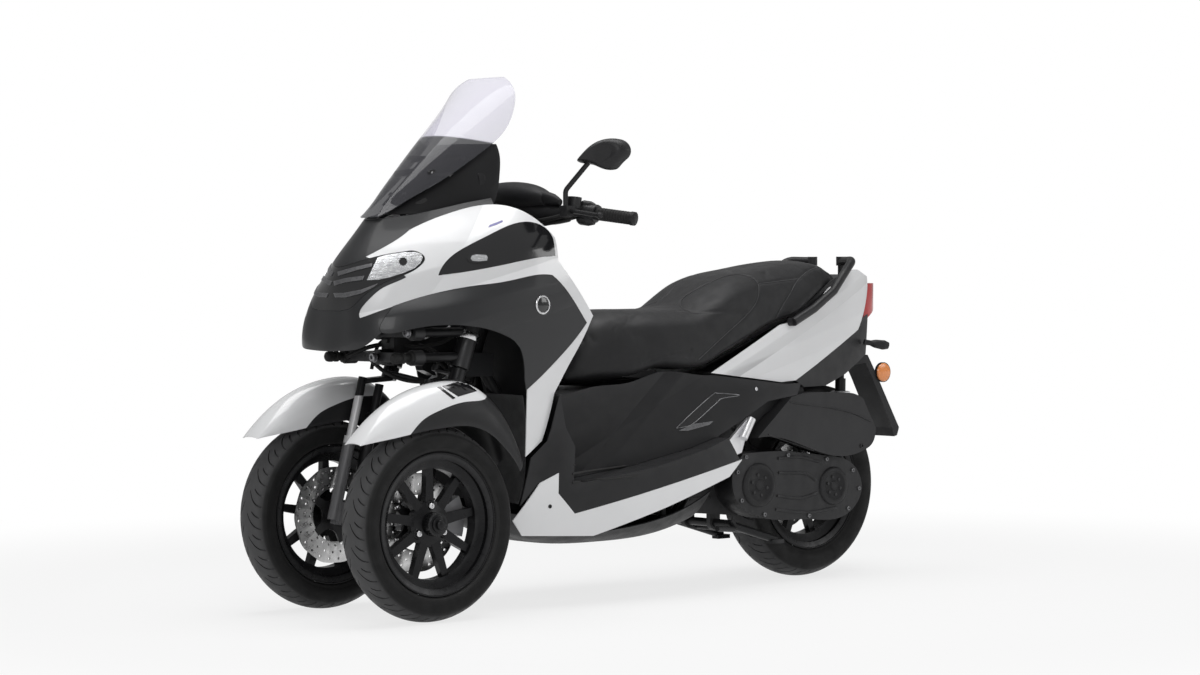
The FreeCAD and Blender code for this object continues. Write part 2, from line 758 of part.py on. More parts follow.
HEAD_TUBE_LOW = 625
HEAD_TUBE_HIGH = 860
FRAME_FLOOR = 215  # height of the frame's tubes below the floor
FRAME_PATH = [
    # one main tube, from behind the splash panel to the tail
    (1202, 40, 590), (1199, 52, 500), (1172, 70, 405), (1100, 92, FRAME_FLOOR), (600, 100, FRAME_FLOOR),
    (545, 140, 330), (500, 158, 480), (420, 158, 588), (250, 152, 622), (-150, 78, 800),
]
FRAME_BRIDGES = [(1000, 92, FRAME_FLOOR), (640, 99, FRAME_FLOOR), (300, 150, 612), (-120, 80, 787)]


def frame():
    """Head tube, bulkhead for the tilt arms, two main tubes and the seat rails."""
    head_low, head_high = stem_at(HEAD_TUBE_LOW), stem_at(HEAD_TUBE_HIGH)
    head = rod(head_low, head_high, s.head_radius)
    nose_end = front(TILT_ARM_X - s.tilt_arm_depth / 2 - 0.3, 0, 0).x
    cheeks = []
    for sign in (1, -1):
        cheek = [
            Vector(stem_at(690).x, 0, 690),
            Vector(nose_end, 0, s.lower_arm_height - 16),
            Vector(nose_end, 0, s.upper_arm_height + 16),
            Vector(stem_at(830).x, 0, 830),
        ]
        flat = [Vector(c.x, sign * 20 - 4, c.z) for c in cheek]
        cheeks.append(Part.Face(Part.makePolygon(flat + flat[:1])).extrude(Vector(0, 8, 0)))
    low_corner = Vector(nose_end - 10, -28, s.lower_arm_height - 24)
    front_plate = block(low_corner, Vector(nose_end, 28, s.upper_arm_height + 24))
    pins = []
    for height in (s.lower_arm_height, s.upper_arm_height):
        tip = Vector(nose_end + s.tilt_arm_depth + 10, 0, height)
        pins.append(rod(Vector(nose_end - 6, 0, height), tip, TILT_PIN_RADIUS))
    tubes = []
    for sign in (1, -1):
        path = [stem_at(700) + LEFT * 12 * sign] + [body(x, sign * y, z) for x, y, z in FRAME_PATH]
        tubes.append(bent_rod(path, s.frame_tube_radius, 50))
        tubes.append(rod(body(486, sign * 157, 508), body(425, sign * 182, 468), 8))
        tubes.append(rod(body(425, sign * 174, 468), body(425, sign * 191.7, 468), 10))
    bridges = [rod(body(x, -y, z), body(x, y, z), s.frame_tube_radius - 4) for x, y, z in FRAME_BRIDGES]
    return fuse(head, front_plate, *cheeks, *pins, *tubes, *bridges)


def head_bore():
    """The room that the handlebar's stem turns in."""
    low, high = stem_at(HEAD_TUBE_LOW) - UP_STEM * 60, stem_at(HEAD_TUBE_HIGH) + UP_STEM * 60
    return rod(low, high, s.stem_radius + s.stem_fit)


main_frame = frame()

BAR_HEIGHT = 1050  # handlebar's clamp on its axis
BAR_PATH = [(-470, 0, 1052), (-488, 120, 1084), (-517, 225, 1097.4)]
BAR_END = (-587, 1072)
GRIP_END = 6  # the rubber past the end of the tube
bar_tip = front(BAR_END[0], s.bar_width / 2, BAR_END[1])
grip_way = (front(*BAR_PATH[-1]) - bar_tip).normalize()


COVER_SECTIONS = [
    # left or right of the middle, half length, half height, rise
    (-158, 22, 20, 2), (-100, 44, 36, 6), (0, 54, 42, 10), (100, 44, 36, 6), (158, 22, 20, 2),
]


def bar_cover():
    """The moulded cover over the middle of the handlebar."""
    sections = []
    for y, half_x, half_z, rise in COVER_SECTIONS:
        middle = front(-482, y, 1128 + rise)
        points = []
        for k in range(8):
            turn = 2 * math.pi * k / 8
            points.append(middle + Vector(half_x * math.cos(turn), 0, half_z * math.sin(turn)))
        curve = Part.BSplineCurve()
        curve.interpolate(points, PeriodicFlag=True)
        sections.append(Part.Wire(curve.toShape()))
    return Part.makeLoft(sections, True, False)


cover = bar_cover()
add("bar_cover", cover)


def handlebar():
    low = stem_at(LINK_HEIGHT) - UP_STEM * 4
    stem = rod(low, stem_at(BAR_HEIGHT), s.stem_radius)
    points = [front(*p) for p in BAR_PATH[1:]] + [bar_tip + grip_way * GRIP_END]
    half = [front(BAR_PATH[0][0], 0, BAR_PATH[0][2])] + points
    path = [Vector(p.x, -p.y, p.z) for p in half[:0:-1]] + half
    bar = bent_rod(path, s.bar_radius, 40)
    clamp = up_to(rod(stem_at(BAR_HEIGHT - 40), stem_at(BAR_HEIGHT + 56), 24), cover, UP * -1)
    head_top = stem_at(HEAD_TUBE_HIGH)
    collar = rod(head_top + UP_STEM * s.seat_fit, head_top + UP_STEM * 16, s.head_radius - 4)
    arms = []
    for sign in (1, -1):
        arm = steer_arm(stem_link, PIN_REACH)
        if sign < 0:
            arm = steer_arm(stem_link, -PIN_REACH)
            arm = arm.mirror(Vector(0, 0, 0), LEFT)
        arms.append(arm)
    return fuse(stem, bar, clamp, collar, *arms)


add("handlebar", handlebar())


BAR_FIT = 0.02  # the grips and housings are clamped to the tube


def grip():
    outside = rod(bar_tip, bar_tip + grip_way * s.grip_length, s.grip_radius)
    weight = rod(bar_tip, bar_tip + grip_way * 10, s.grip_radius + 2)
    hole = rod(bar_tip + grip_way * (GRIP_END - 0.5), bar_tip + grip_way * 200, s.bar_radius + BAR_FIT)
    return fuse(outside, weight).cut(hole)


add("grips", both_sides(grip()))


perch_base = bar_tip + grip_way * (s.grip_length + 47)
PERCH_TOP = 16


def controls():
    """Switch housing, brake lever and its perch, left side."""
    near = bar_tip + grip_way * (s.grip_length + 1)
    housing = rod(near, near + grip_way * 40, 25)
    bar_hole = rod(near - grip_way * 50, near + grip_way * 100, s.bar_radius + BAR_FIT)
    base = perch_base
    perch = block(base + Vector(8, -14, -14), base + Vector(70, 16, PERCH_TOP))
    ring = rod(base - grip_way * 8, base + grip_way * 12, 19)
    pivot = base + Vector(48, 0, 0)
    tip = pivot + Vector(-10, 118, -12)
    lever = bent_rod([pivot, pivot + Vector(6, 34, 0), pivot + Vector(-2, 84, -7), tip], 6, 20)
    cup = rod(base + Vector(30, 0, 10), base + Vector(26, 0, 40), 19)
    return fuse(housing, ring, perch, lever, Part.makeSphere(9, tip), cup).cut(bar_hole)


add("controls", both_sides(controls()))


MIRROR_OUTLINE = [
    (285, 1232), (311, 1265), (338, 1286), (363, 1292), (390, 1284), (403, 1262),
    (400, 1244), (383, 1226), (362, 1206), (336, 1214), (308, 1222),
]


def mirror_piece():
    """Mirror housing on its stalk, left side."""
    foot = perch_base + Vector(60, 0, PERCH_TOP + 0.1)
    stalk = bent_rod([foot, foot + Vector(0, 0, 42), front(-512, 318, 1240)], 7, 22)
    rows = []
    for x, grow in ((-500, 0.55), (-512, 0.88), (-535, 1.0), (-552, 0.97)):
        points = []
        for y, z in MIRROR_OUTLINE:
            middle_y, middle_z = 350, 1250
            turned_x = x - (y - middle_y) / 2
            points.append(front(turned_x, middle_y + (y - middle_y) * grow, middle_z + (z - middle_z) * grow))
        curve = Part.BSplineCurve()
        curve.interpolate(points, PeriodicFlag=True)
        rows.append(Part.Wire(curve.toShape()))
    return fuse(stalk, Part.makeLoft(rows, True, False))


add("mirrors", both_sides(mirror_piece()))


def tie_rod(level):
    """A tie rod with an eye at each end, from the handlebar's arm to the left fork's arm."""
    start = in_link_plane(stem_link, arm_ahead, arm_left, level)
    end = in_link_plane(kingpin_at(LINK_HEIGHT + link_rise, kingpin_y), arm_ahead, arm_left, level)
    half = UP_STEM * 6
    eyes = [rod(p - half, p + half, 10) for p in (start, end)]
    bores = [rod(p - half, p + half, s.ball_pin_radius + s.ball_pin_fit) for p in (start, end)]
    way = (end - start).normalize()
    return fuse(rod(start + way * 8, end - way * 8, s.tie_rod_radius), *eyes).cut(Part.makeCompound(bores))


left_rod = tie_rod(ROD_LEVEL)
add("tie_rod_left", left_rod)
add("tie_rod_right", mirrored(tie_rod(-ROD_LEVEL)))

# Front bodywork, cut from one smooth shell

# Level lines of the shell: height, then stations from the rear axle with half widths, nose first
SHELL_LEVELS = [
    (400, [
        (1745, 0), (1740, 60), (1720, 118), (1670, 170), (1590, 205),
        (1485, 222), (1295, 222), (1155, 212), (995, 190),
    ]),
    (520, [
        (1747, 0), (1743, 60), (1723, 119), (1673, 171), (1593, 207),
        (1490, 228), (1297, 232), (1157, 222), (995, 200),
    ]),
    (610, [
        (1750, 0), (1745, 60), (1727, 120), (1679, 172), (1595, 210),
        (1495, 232), (1305, 240), (1160, 230), (995, 208),
    ]),
    (680, [
        (1753, 0), (1747, 60), (1733, 121), (1687, 174), (1605, 213),
        (1505, 237), (1310, 247), (1163, 238), (995, 217),
    ]),
    (725, [
        (1756, 0), (1751, 60), (1741, 121), (1697, 175), (1615, 215),
        (1515, 240), (1325, 251), (1160, 244), (995, 225),
    ]),
    (810, [
        (1742, 0), (1740, 60), (1735, 115), (1690, 170), (1600, 214),
        (1500, 240), (1310, 252), (1150, 247), (995, 229),
    ]),
    (870, [
        (1735, 0), (1731, 50), (1715, 108), (1653, 163), (1560, 205),
        (1455, 234), (1300, 249), (1145, 246), (995, 230),
    ]),
    (940, [
        (1715, 0), (1702, 50), (1663, 108), (1603, 153), (1503, 199),
        (1405, 229), (1265, 244), (1130, 241), (995, 226),
    ]),
    (1000, [
        (1672, 0), (1656, 48), (1607, 104), (1535, 150), (1445, 192),
        (1340, 220), (1240, 234), (1130, 232), (1000, 214),
    ]),
    (1050, [
        (1630, 0), (1613, 44), (1562, 92), (1483, 138), (1395, 176),
        (1300, 202), (1210, 214), (1125, 212), (1010, 196),
    ]),
    (1100, [
        (1587, 0), (1573, 38), (1523, 80), (1445, 117), (1350, 150),
        (1260, 176), (1185, 188), (1110, 186), (1025, 174),
    ]),
    (1150, [
        (1540, 0), (1529, 32), (1487, 66), (1415, 98), (1330, 127),
        (1250, 149), (1180, 160), (1110, 158), (1040, 148),
    ]),
]


def shell_rows():
    rows = []
    for z, halves in SHELL_LEVELS:
        left = [body(x, y, z) for x, y in halves]
        rows.append([Vector(p.x, -p.y, p.z) for p in left[:0:-1]] + left)
    return rows


front_shell = panel(shell_rows(), s.skin, body(1350, 0, 850))
WIDE = 400
AHEAD_OF_NOSE = 1900

LAMP = [
    [
        (1713, 944), (1668, 966), (1625, 979), (1585, 986), (1557, 985), (1546, 973), (1563, 948),
        (1603, 926), (1640, 912), (1680, 892), (1716, 864),
    ],
    [(1738, 828)],
    [(AHEAD_OF_NOSE, 828)],
    [(AHEAD_OF_NOSE, 944)],
]
INTAKE = [
    [(1524, 922), (1508, 945), (1484, 967), (1422, 1001), (1349, 1031), (1250, 1063), (1192, 1061), (1158, 1040)],
    [(1149, 1018)],
    [(1152, 972)],
    [(1194, 971), (1264, 961), (1353, 946), (1443, 932)],
]
SIDE_PANEL = [
    [(1660, 840), (1595, 861), (1512, 880), (1426, 893), (1362, 899), (1283, 911), (1210, 921)],
    [(1166, 919), (1132, 893), (1090, 850)],
    [(1036, 787), (1130, 700)],
    [(1256, 607)],
    [(1264, 640), (1272, 690), (1294, 732), (1340, 758), (1390, 774), (1438, 783), (1515, 789), (1600, 784)],
    [(1647, 774), (1697, 772)],
]
LIP = [
    [(1697, 772)],
    [(1660, 840), (1705, 823)],
    [(1731, 810), (1728, 826), (1715, 847), (1693, 870), (1668, 889), (1640, 902)],
    [(1606, 917)],
    [(1618, 935)],
    [(AHEAD_OF_NOSE, 890)],
    [(AHEAD_OF_NOSE, 700)],
    [(1775, 721), (1745, 724), (1720, 747)],
]
COWL = [
    [(1731, 810), (1728, 826), (1715, 847), (1693, 870), (1668, 889), (1640, 902)],
    [(1606, 917)],
    [(1618, 935)],
    [(1668, 972), (1620, 1000), (1576, 1026)],
    [(1550, 1044), (1485, 1072), (1420, 1093), (1330, 1112), (1250, 1106), (1188, 1072)],
    [(1141, 1022)],
    [(1141, 958), (1079, 889)],
    [(1010, 806), (1070, 712)],
    [(1148, 595), (1174, 501)],
    [(1188, 465)],
    [(1246, 424)],
    [(1252, 607)],
    [(1246, 650)],
    [(1290, 800)],
    [(1400, 832)],
    [(1600, 826)],
    [(1660, 840), (1705, 823)],
]
NOSE = straight(
    (AHEAD_OF_NOSE, 900), (1650, 940), (1560, 1000), (1300, 1085), (1300, 1131),
    (1376, 1118), (1522, 1086), (1620, 1072), (AHEAD_OF_NOSE, 1072),
)


def region(chains, grow=0):
    return side_prism(chains, -WIDE, WIDE, -grow)


def halves_of(shape):
    """The solids of a shape as one compound."""
    return Part.makeCompound(shape.Solids)


gap = s.panel_gap
lamp_room = region(LAMP, gap)
cowl = front_shell.common(region(COWL))
for hole in (region(SIDE_PANEL, gap), region(INTAKE, gap), lamp_room):
    cowl = cowl.cut(hole)
add("side_cowls", halves_of(cowl))
add("headlight", halves_of(front_shell.common(region(LAMP))))
add("intake_panels", halves_of(front_shell.common(region(INTAKE))))
add("side_panels", halves_of(front_shell.common(region(SIDE_PANEL))))
lip = front_shell.common(region(LIP)).cut(lamp_room).cut(region(SIDE_PANEL, gap)).cut(region(COWL, gap))
add("lower_cowl", halves_of(lip))
nose = front_shell.common(region(NOSE)).cut(lamp_room).cut(region(COWL, gap))
add("nose_panel", halves_of(nose))

# Screen, dash cowl and leg shield: height, middle station, edge station, edge half width

SCREEN_LEVELS = [
    (1080, 1618, 1609, 38),
    (1098, 1600, 1574, 54),
    (1118, 1582, 1540, 63),
    (1140, 1562, 1502, 77),
    (1187, 1516, 1424, 107),
    (1244, 1459, 1344, 134),
    (1300, 1400, 1276, 156),
    (1380, 1310, 1230, 160),
    (1430, 1250, 1214, 140),
    (1468, 1204, 1200, 78),
]
DASH_LEVELS = [
    (1088, 1568, 1286, 114),
    (1112, 1544, 1272, 118),
    (1150, 1500, 1258, 121),
    (1200, 1446, 1252, 123),
    (1245, 1392, 1252, 124),
    (1280, 1348, 1260, 118),
]
SCREEN_ARM_FOOT = {1200: 1378, 1245: 1319}  # station where an arm at this height leaves the dash
SHIELD_LEVELS = [
    (1010, 1106, 1150, 220),
    (962, 1110, 1152, 232),
    (889, 1122, 1090, 232),
    (806, 1138, 1024, 222),
    (712, 1156, 1082, 224),
    (606, 1170, 1158, 218),
    (520, 1176, 1182, 212),
]
SPLASH_LEVELS = [
    (592, 1234, 1262, 226),
    (500, 1222, 1247, 220),
    (430, 1210, 1238, 208),
    (350, 1212, 1250, 212),
    (296, 1226, 1262, 204),
]


def bowed_panel(levels, thickness, inside, bow=2.2, count=6):
    return panel([bowed_row(*level, count, bow) for level in levels], thickness, inside)


screen = bowed_panel(SCREEN_LEVELS, s.screen_thickness, body(1200, 0, 1150))
dash = bowed_panel(DASH_LEVELS, s.skin, body(1200, 0, 1150))
leg_shield = bowed_panel(SHIELD_LEVELS, s.skin, body(1300, 0, 850), 3)
splash_panel = bowed_panel(SPLASH_LEVELS, s.skin, body(1100, 0, 400))
screen_arms = []
for y, z in ((75, 1200), (88, 1245)):
    start = body(1250, y, z)
    arm = up_to(rod(start, start + FORWARDS * 300, 6), screen, FORWARDS * -1)
    arm = arm.cut(block(body(1200, 0, 1100), body(SCREEN_ARM_FOOT[z], 200, 1300)))
    screen_arms += [arm, mirrored(arm)]
add("windshield", screen)
add("dash_cowl", fuse(dash, *screen_arms))
add("leg_shield", leg_shield)
add("splash_panel", splash_panel)

# Footwell and underbody: half widths of the lower body by station, low to high

LOWER_STATIONS = [1340, 1200, 1050, 800, 620, 430]
LOWER_LEVELS = [
    (150, [175, 205, 222, 230, 222, 205]),
    (220, [188, 222, 241, 250, 240, 222]),
    (300, [200, 234, 254, 262, 252, 232]),
    (400, [205, 238, 258, 264, 254, 234]),
    (600, [206, 239, 259, 265, 255, 235]),
]
UNDER_COVER = straight(
    (1149, 376), (1207, 351), (1282, 250), (1250, 207), (1018, 195), (760, 262), (507, 335),
    (451, 382), (1091, 261), (1149, 320),
)
lower_rows = [[body(x, y, z) for x, y in zip(LOWER_STATIONS, ys)] for z, ys in LOWER_LEVELS]
lower_shell = panel(lower_rows, s.skin, body(800, 0, 280))
add("under_covers", both_sides(lower_shell.common(side_prism(UNDER_COVER, 0, WIDE)).Solids[0]))

FLOOR_TOP = [
    (1140, 592), (1122, 500), (1092, 447), (1098, 352), (1060, 346),
    (800, 378), (600, 418), (505, 446), (452, 374),
]
FLOOR_SKIRT = [
    (452, 374), (1091, 250), (1180, 300), (1207, 354), (1262, 290), (1232, 420),
    (1181, 465), (1167, 501), (1141, 592),
]
TUNNEL_HALF = 150


def floorboard():
    """Riser, floor and outer skirt of the left footwell, as one moulding."""
    under = [(x + 2, z - s.skin) for x, z in FLOOR_TOP]
    tread = side_prism(straight(*(FLOOR_TOP + under[::-1])), TUNNEL_HALF, WIDE)
    face = side_prism(straight(*(FLOOR_TOP + FLOOR_SKIRT[1:])), TUNNEL_HALF, WIDE)
    skirt = moved(lower_shell, LEFT * -(s.skin + s.seat_fit))
    inset = 2 * s.skin - 0.5
    plan = [body(x, y - inset, 180) for x, y in zip(LOWER_STATIONS, LOWER_LEVELS[3][1])]
    core_edges = [smooth(plan)]
    corners = [plan[-1], Vector(plan[-1].x, 0, 180), Vector(plan[0].x, 0, 180), plan[0]]
    core_edges += [Part.LineSegment(a, b).toShape() for a, b in zip(corners, corners[1:])]
    core = Part.Face(Part.Wire(Part.__sortEdges__(core_edges))).extrude(Vector(0, 0, 500))
    tube_room = block(body(440, 0, 380), body(640, 178, 470))
    return tread.common(core).cut(tube_room).fuse(face.common(skirt)).removeSplitter()


floor = floorboard()
add("floorboards", both_sides(floor))

BELLY_STATIONS = [
    # station, height in the middle, height and half width at the edge
    (1230, 262, 262, 190),
    (1196, 212, 230, 196),
    (1100, 172, 206, 202),
    (900, 158, 206, 212),
    (700, 164, 236, 212),
    (540, 196, 292, 196),
]
belly_rows = []
for x, low, high, half_width in BELLY_STATIONS:
    shares = [step / 5 for step in range(-5, 6)]
    belly_rows.append([body(x, half_width * t, low + (high - low) * abs(t) ** 3) for t in shares])
belly_pan = panel(belly_rows, s.skin, body(850, 0, 600))
add("belly_pan", belly_pan)

# Tunnel between the footwells, and the side covers below the seat

TUNNEL_STATIONS = [1165, 1050, 900, 700, 500, 300, 140]
TUNNEL_LEVELS = [
    (340, [140, 148, 158, 172, 190, 196, 186]),
    (430, [140, 146, 156, 170, 190, 200, 190]),
    (510, [138, 142, 150, 166, 188, 200, 192]),
    (590, [130, 134, 140, 158, 182, 197, 190]),
    (655, [118, 122, 130, 150, 176, 190, 186]),
]
TUNNEL_SIDE = [
    [(1150, 590), (1020, 586), (924, 604), (802, 612), (690, 640), (540, 626)],
    [(509, 626)],
    [(234, 592)],
    [(172, 594)],
    [(190, 560)],
    [(310, 545), (420, 490)],
    [(505, 447.5)],
    [(600, 419.5)],
    [(800, 379.5)],
    [(1060, 347.5)],
    [(1094, 353)],
    [(1088, 447)],
    [(1118, 500)],
]
tunnel_rows = [[body(x, y, z) for x, y in zip(TUNNEL_STATIONS, ys)] for z, ys in TUNNEL_LEVELS]
tunnel_shell = panel(tunnel_rows, s.skin, body(700, 0, 500))
add("tunnel_covers", both_sides(tunnel_shell.common(side_prism(TUNNEL_SIDE, 0, WIDE)).Solids[0]))

# Top of the tunnel, with the fuel lid let in flush

TOP_PROFILE = [(1152, 590), (1020, 586), (924, 596), (836, 598)]
TOP_HALF = 122
LID_FRONT, LID_REAR, LID_HALF = 1128, 992, 62


def top_slab(half_width, low, high):
    """A slab that follows the tunnel's top line, between two depths below it."""
    upper = [(x, z - low) for x, z in TOP_PROFILE]
    lower = [(x, z - high) for x, z in TOP_PROFILE[::-1]]
    return side_prism([upper[:-1], upper[-1:], lower[:-1], lower[-1:]], -half_width, half_width)


def lid_room(grow):
    low, high = body(LID_REAR - grow, -LID_HALF - grow, 500), body(LID_FRONT + grow, LID_HALF + grow, 700)
    return block(low, high)


wide_top = top_slab(WIDE, 0, s.skin)
for wall, way in ((tunnel_shell, LEFT * -1), (mirrored(tunnel_shell), LEFT)):
    wide_top = wide_top.cut(moved(wall, way * s.seat_fit))
tunnel_top = min(wide_top.Solids, key=lambda piece: abs(piece.CenterOfMass.y)).cut(lid_room(s.lid_gap))
HINGE_X, HINGE_Z = 972, 603  # the seat's hinge


def hinge_lugs():
    """Two round lugs on the tunnel's top, bored for the seat's hinge pin."""
    pieces = []
    for y in (20, -28):
        middle = body(HINGE_X, y, HINGE_Z)
        pieces.append(Part.makeCylinder(7.5, 8, middle, LEFT))
        pieces.append(block(middle + Vector(-7, 0, -14), middle + Vector(7, 8, 0)))
    pin_room = rod(body(HINGE_X, -40, HINGE_Z), body(HINGE_X, 40, HINGE_Z), s.hinge_pin_radius + s.hinge_fit)
    return [piece.cut(pin_room) for piece in pieces]


neck = rod(body(1028, 0, 520), body(1028, 0, 562), 30)
neck_cap = rod(body(1028, 0, 556), body(1028, 0, 571), 34)
shelf = top_slab(LID_HALF + 14, s.skin, s.skin + 3).cut(lid_room(-8))
add("tunnel_top", fuse(tunnel_top, shelf, *hinge_lugs()))
add("fuel_lid", top_slab(TOP_HALF, 0, s.skin - 0.3).common(lid_room(0)))
TANK_FLOOR = FRAME_FLOOR + s.frame_tube_radius + s.seat_fit  # the tank rests on the frame's tubes
add("fuel_tank", fuse(block(body(804, -104, TANK_FLOOR), body(1064, 104, 520)), neck, neck_cap))

# Seat, storage box and tail

SEAT_STATIONS = [
    # station, underside, top, half width, how square the top is
    (976, 614, 640, 62),
    (930, 612, 730, 92),
    (868, 616, 800, 116),
    (790, 620, 812, 146),
    (690, 648, 811, 172),
    (600, 642, 811, 184),
    (545, 643, 819, 186),
    (482, 667, 855, 183),
    (412, 695, 892, 179),
    (340, 724, 913, 173),
    (250, 762, 926, 166),
    (140, 786, 942, 150),
    (30, 848, 950, 128),
    (-68, 886, 916, 92),
]


def eased(rows, steps):
    """The rows with others worked out between them. No value overshoots its neighbours."""
    spans = [b[0] - a[0] for a, b in zip(rows, rows[1:])]
    columns = []
    for values in list(zip(*rows))[1:]:
        secants = [(b - a) / span for a, b, span in zip(values, values[1:], spans)]
        slopes = [secants[0]]
        for before, after in zip(secants, secants[1:]):
            slopes.append(2 * before * after / (before + after) if before * after > 0 else 0)
        slopes.append(secants[-1])
        column = []
        for i, span in enumerate(spans):
            for step in range(steps):
                t = step / steps
                column.append(
                    values[i] * (1 + 2 * t) * (1 - t) ** 2 + values[i + 1] * t * t * (3 - 2 * t)
                    + span * t * (1 - t) * (slopes[i] * (1 - t) - slopes[i + 1] * t)
                )
        columns.append(column + [values[-1]])
    stations = [a[0] + (b[0] - a[0]) * step / steps for a, b in zip(rows, rows[1:]) for step in range(steps)]
    return list(zip(stations + [rows[-1][0]], *columns))


DRAWN_SEAT_HEIGHT = 812  # the stations above are drawn for this seat height


def seat_section(x, low, high, half):
    """A rounded section across the seat. The top is flatter than the sides."""
    top_rise = s.seat_height - DRAWN_SEAT_HEIGHT
    points = [
        body(x, 0, low + s.seat_gap / 2),
        body(x, half * 0.7, low + s.seat_gap / 2),
        body(x, half * 0.97, low + (high - low) * 0.12 + 2),
        body(x, half, low + (high - low) * 0.45),
        body(x, half * 0.9, low + (high - low) * 0.82),
        body(x, half * 0.55, high - (high - low) * 0.03),
        body(x, 0, high + top_rise),
    ]
    right = [Vector(p.x, -p.y, p.z) for p in points[-2:0:-1]]
    curve = Part.BSplineCurve()
    curve.interpolate(points + right, PeriodicFlag=True)
    return Part.Wire(curve.toShape())


seat = Part.makeLoft([seat_section(*station) for station in eased(SEAT_STATIONS, 3)], True, True)
hinge_pin = rod(body(HINGE_X, -28, HINGE_Z), body(HINGE_X, 28, HINGE_Z), s.hinge_pin_radius)
tongue = block(body(HINGE_X - 8, -18, HINGE_Z - 4), body(HINGE_X + 2, 18, HINGE_Z + 20))
add("seat", fuse(seat, hinge_pin, tongue))

BOX = [(800, 596), (420, 616), (420, 470), (560, 452), (800, 452)]


def storage_box():
    """The open bin under the seat."""
    outer = side_prism(straight(*BOX), -138, 138)
    inner = [(796, 620), (424, 640), (424, 474), (562, 456), (796, 456)]
    return outer.cut(side_prism(straight(*inner), -134, 134))


add("storage_box", storage_box())

TAIL_STATIONS = [560, 400, 250, 60, -100, -190, -245]
TAIL_LEVELS = [
    (580, [192, 186, 176, 150, 112, 84, 62]),
    (680, [190, 184, 174, 149, 114, 88, 66]),
    (780, [184, 178, 168, 146, 114, 90, 68]),
    (880, [172, 166, 156, 138, 108, 87, 68]),
    (945, [160, 152, 142, 124, 96, 78, 62]),
]
TAIL_SIDE = [
    [(527, 633), (380, 700)],
    [(233, 766)],
    [(139, 780), (50, 832), (-40, 890)],
    [(-172, 927)],
    [(-226, 905)],
    [(-226, 877), (-187, 779)],
    [(-162, 744)],
    [(168, 601)],
    [(234, 598)],
]
TRIM_SIDE = straight(
    (167.7, 600.3), (-162.6, 743.1), (-187.7, 778.3), (-226, 790), (-214, 668), (-90, 612), (90, 560),
)
TAIL_TOP = [(-30, 861), (-172, 912), (-226, 896), (-226, 891), (-172, 907), (-30, 856)]
TRIM_FLOOR = [(0, 589), (-90, 614), (-214, 670), (-214, 676), (-90, 620), (0, 595)]
tail_rows = [[body(x, y, z) for x, y in zip(TAIL_STATIONS, ys)] for z, ys in TAIL_LEVELS]
tail_shell = panel(tail_rows, s.skin, body(150, 0, 760))
add("tail_cowls", both_sides(tail_shell.common(side_prism(TAIL_SIDE, 0, WIDE)).Solids[0]))


def tail_trim():
    """The dark moulding below the tail, with its back wall and underside."""
    wrap = tail_shell.common(side_prism(TRIM_SIDE, 0, WIDE)).Solids[0]
    slab = side_prism(straight(*TRIM_FLOOR), -WIDE, WIDE)
    edge = [body(x, y - s.skin / 2, 500) for x, y in zip(TAIL_STATIONS, TAIL_LEVELS[0][1])]
    plan = edge + [Vector(p.x, -p.y, p.z) for p in edge[::-1]]
    core = Part.Face(Part.makePolygon(plan + plan[:1])).extrude(Vector(0, 0, 400))
    shock_room = both_sides(block(body(-116, 73, 560), body(20, 150, 660)))
    top = side_prism(straight(*TAIL_TOP), -WIDE, WIDE)
    for wall, way in ((tail_shell, LEFT * -1), (mirrored(tail_shell), LEFT)):
        top = top.cut(moved(wall, way * s.seat_fit))
    top = min(top.Solids, key=lambda piece: abs(piece.CenterOfMass.y))
    floor_slab = slab.common(core).cut(shock_room)
    return fuse(floor_slab, wrap, mirrored(wrap)), top


tail_wrap, tail_top = tail_trim()
add("tail_trim", Part.makeCompound([tail_wrap, tail_top]))
LAMP_SIDE = [[(-231, 884), (-200, 780)], [(-232, 776)], [(-276, 802), (-296, 848)], [(-301, 884)]]
LAMP_PLAN = [(-190, 66), (-240, 65), (-276, 50), (-296, 26), (-301, 0)]


def tail_lamp():
    """The tail lamp, with a rear face that bows round to its sides."""
    left = [body(x, y, 760) for x, y in LAMP_PLAN]
    bow = left + [Vector(p.x, -p.y, p.z) for p in left[-2::-1]]
    plan = Part.Wire([smooth(bow), Part.LineSegment(bow[-1], bow[0]).toShape()])
    return side_prism(LAMP_SIDE, -66, 66).common(Part.Face(plan).extrude(UP * 140))


tail_light = tail_lamp()
add("tail_light", tail_light)


GRAB_PATH = [
    (188, 179, 774), (104, 178, 812), (16, 173, 864), (-44, 160, 918), (-98, 138, 954), (-126, 62, 952),
]
RACK_BOSS_RADIUS = 15
RACK_BOSS_RISE = 14  # flat top of the boss above the bar's axis


def grab_bar():
    path = [body(*point) for point in GRAB_PATH]
    front_foot = rod(path[0], path[0] - LEFT * 20, 12)
    rear_foot = rod(path[-1] + UP * 4, path[-1] - UP * 70, 10)
    front_foot = up_to(front_foot, tail_shell, LEFT)
    rear_foot = up_to(rear_foot, tail_top, UP)
    boss_top = path[-1] + UP * RACK_BOSS_RISE
    boss = rod(boss_top - UP * (s.rack_bore_depth + 2), boss_top, RACK_BOSS_RADIUS)
    bore = rod(boss_top - UP * s.rack_bore_depth, boss_top + UP, s.rack_bore_radius)
    return fuse(bent_rod(path, 13, 34), front_foot, rear_foot, boss).cut(bore)


add("grab_bars", both_sides(grab_bar()))
REAR_TIP = -s.rear_overhang
FLAP_HALF = 46  # half width of the rear flap
PLATE_FLAP = straight(
    (-170, 649.6), (-213.4, 669.2), (-256, 664), (-291, 609), (REAR_TIP, 436), (REAR_TIP + 9, 412),
    (REAR_TIP + 22, 409), (REAR_TIP + 30, 436), (-274, 596), (-246, 640), (-170, 630),
)
add("plate_holder", side_prism(PLATE_FLAP, -FLAP_HALF, FLAP_HALF))


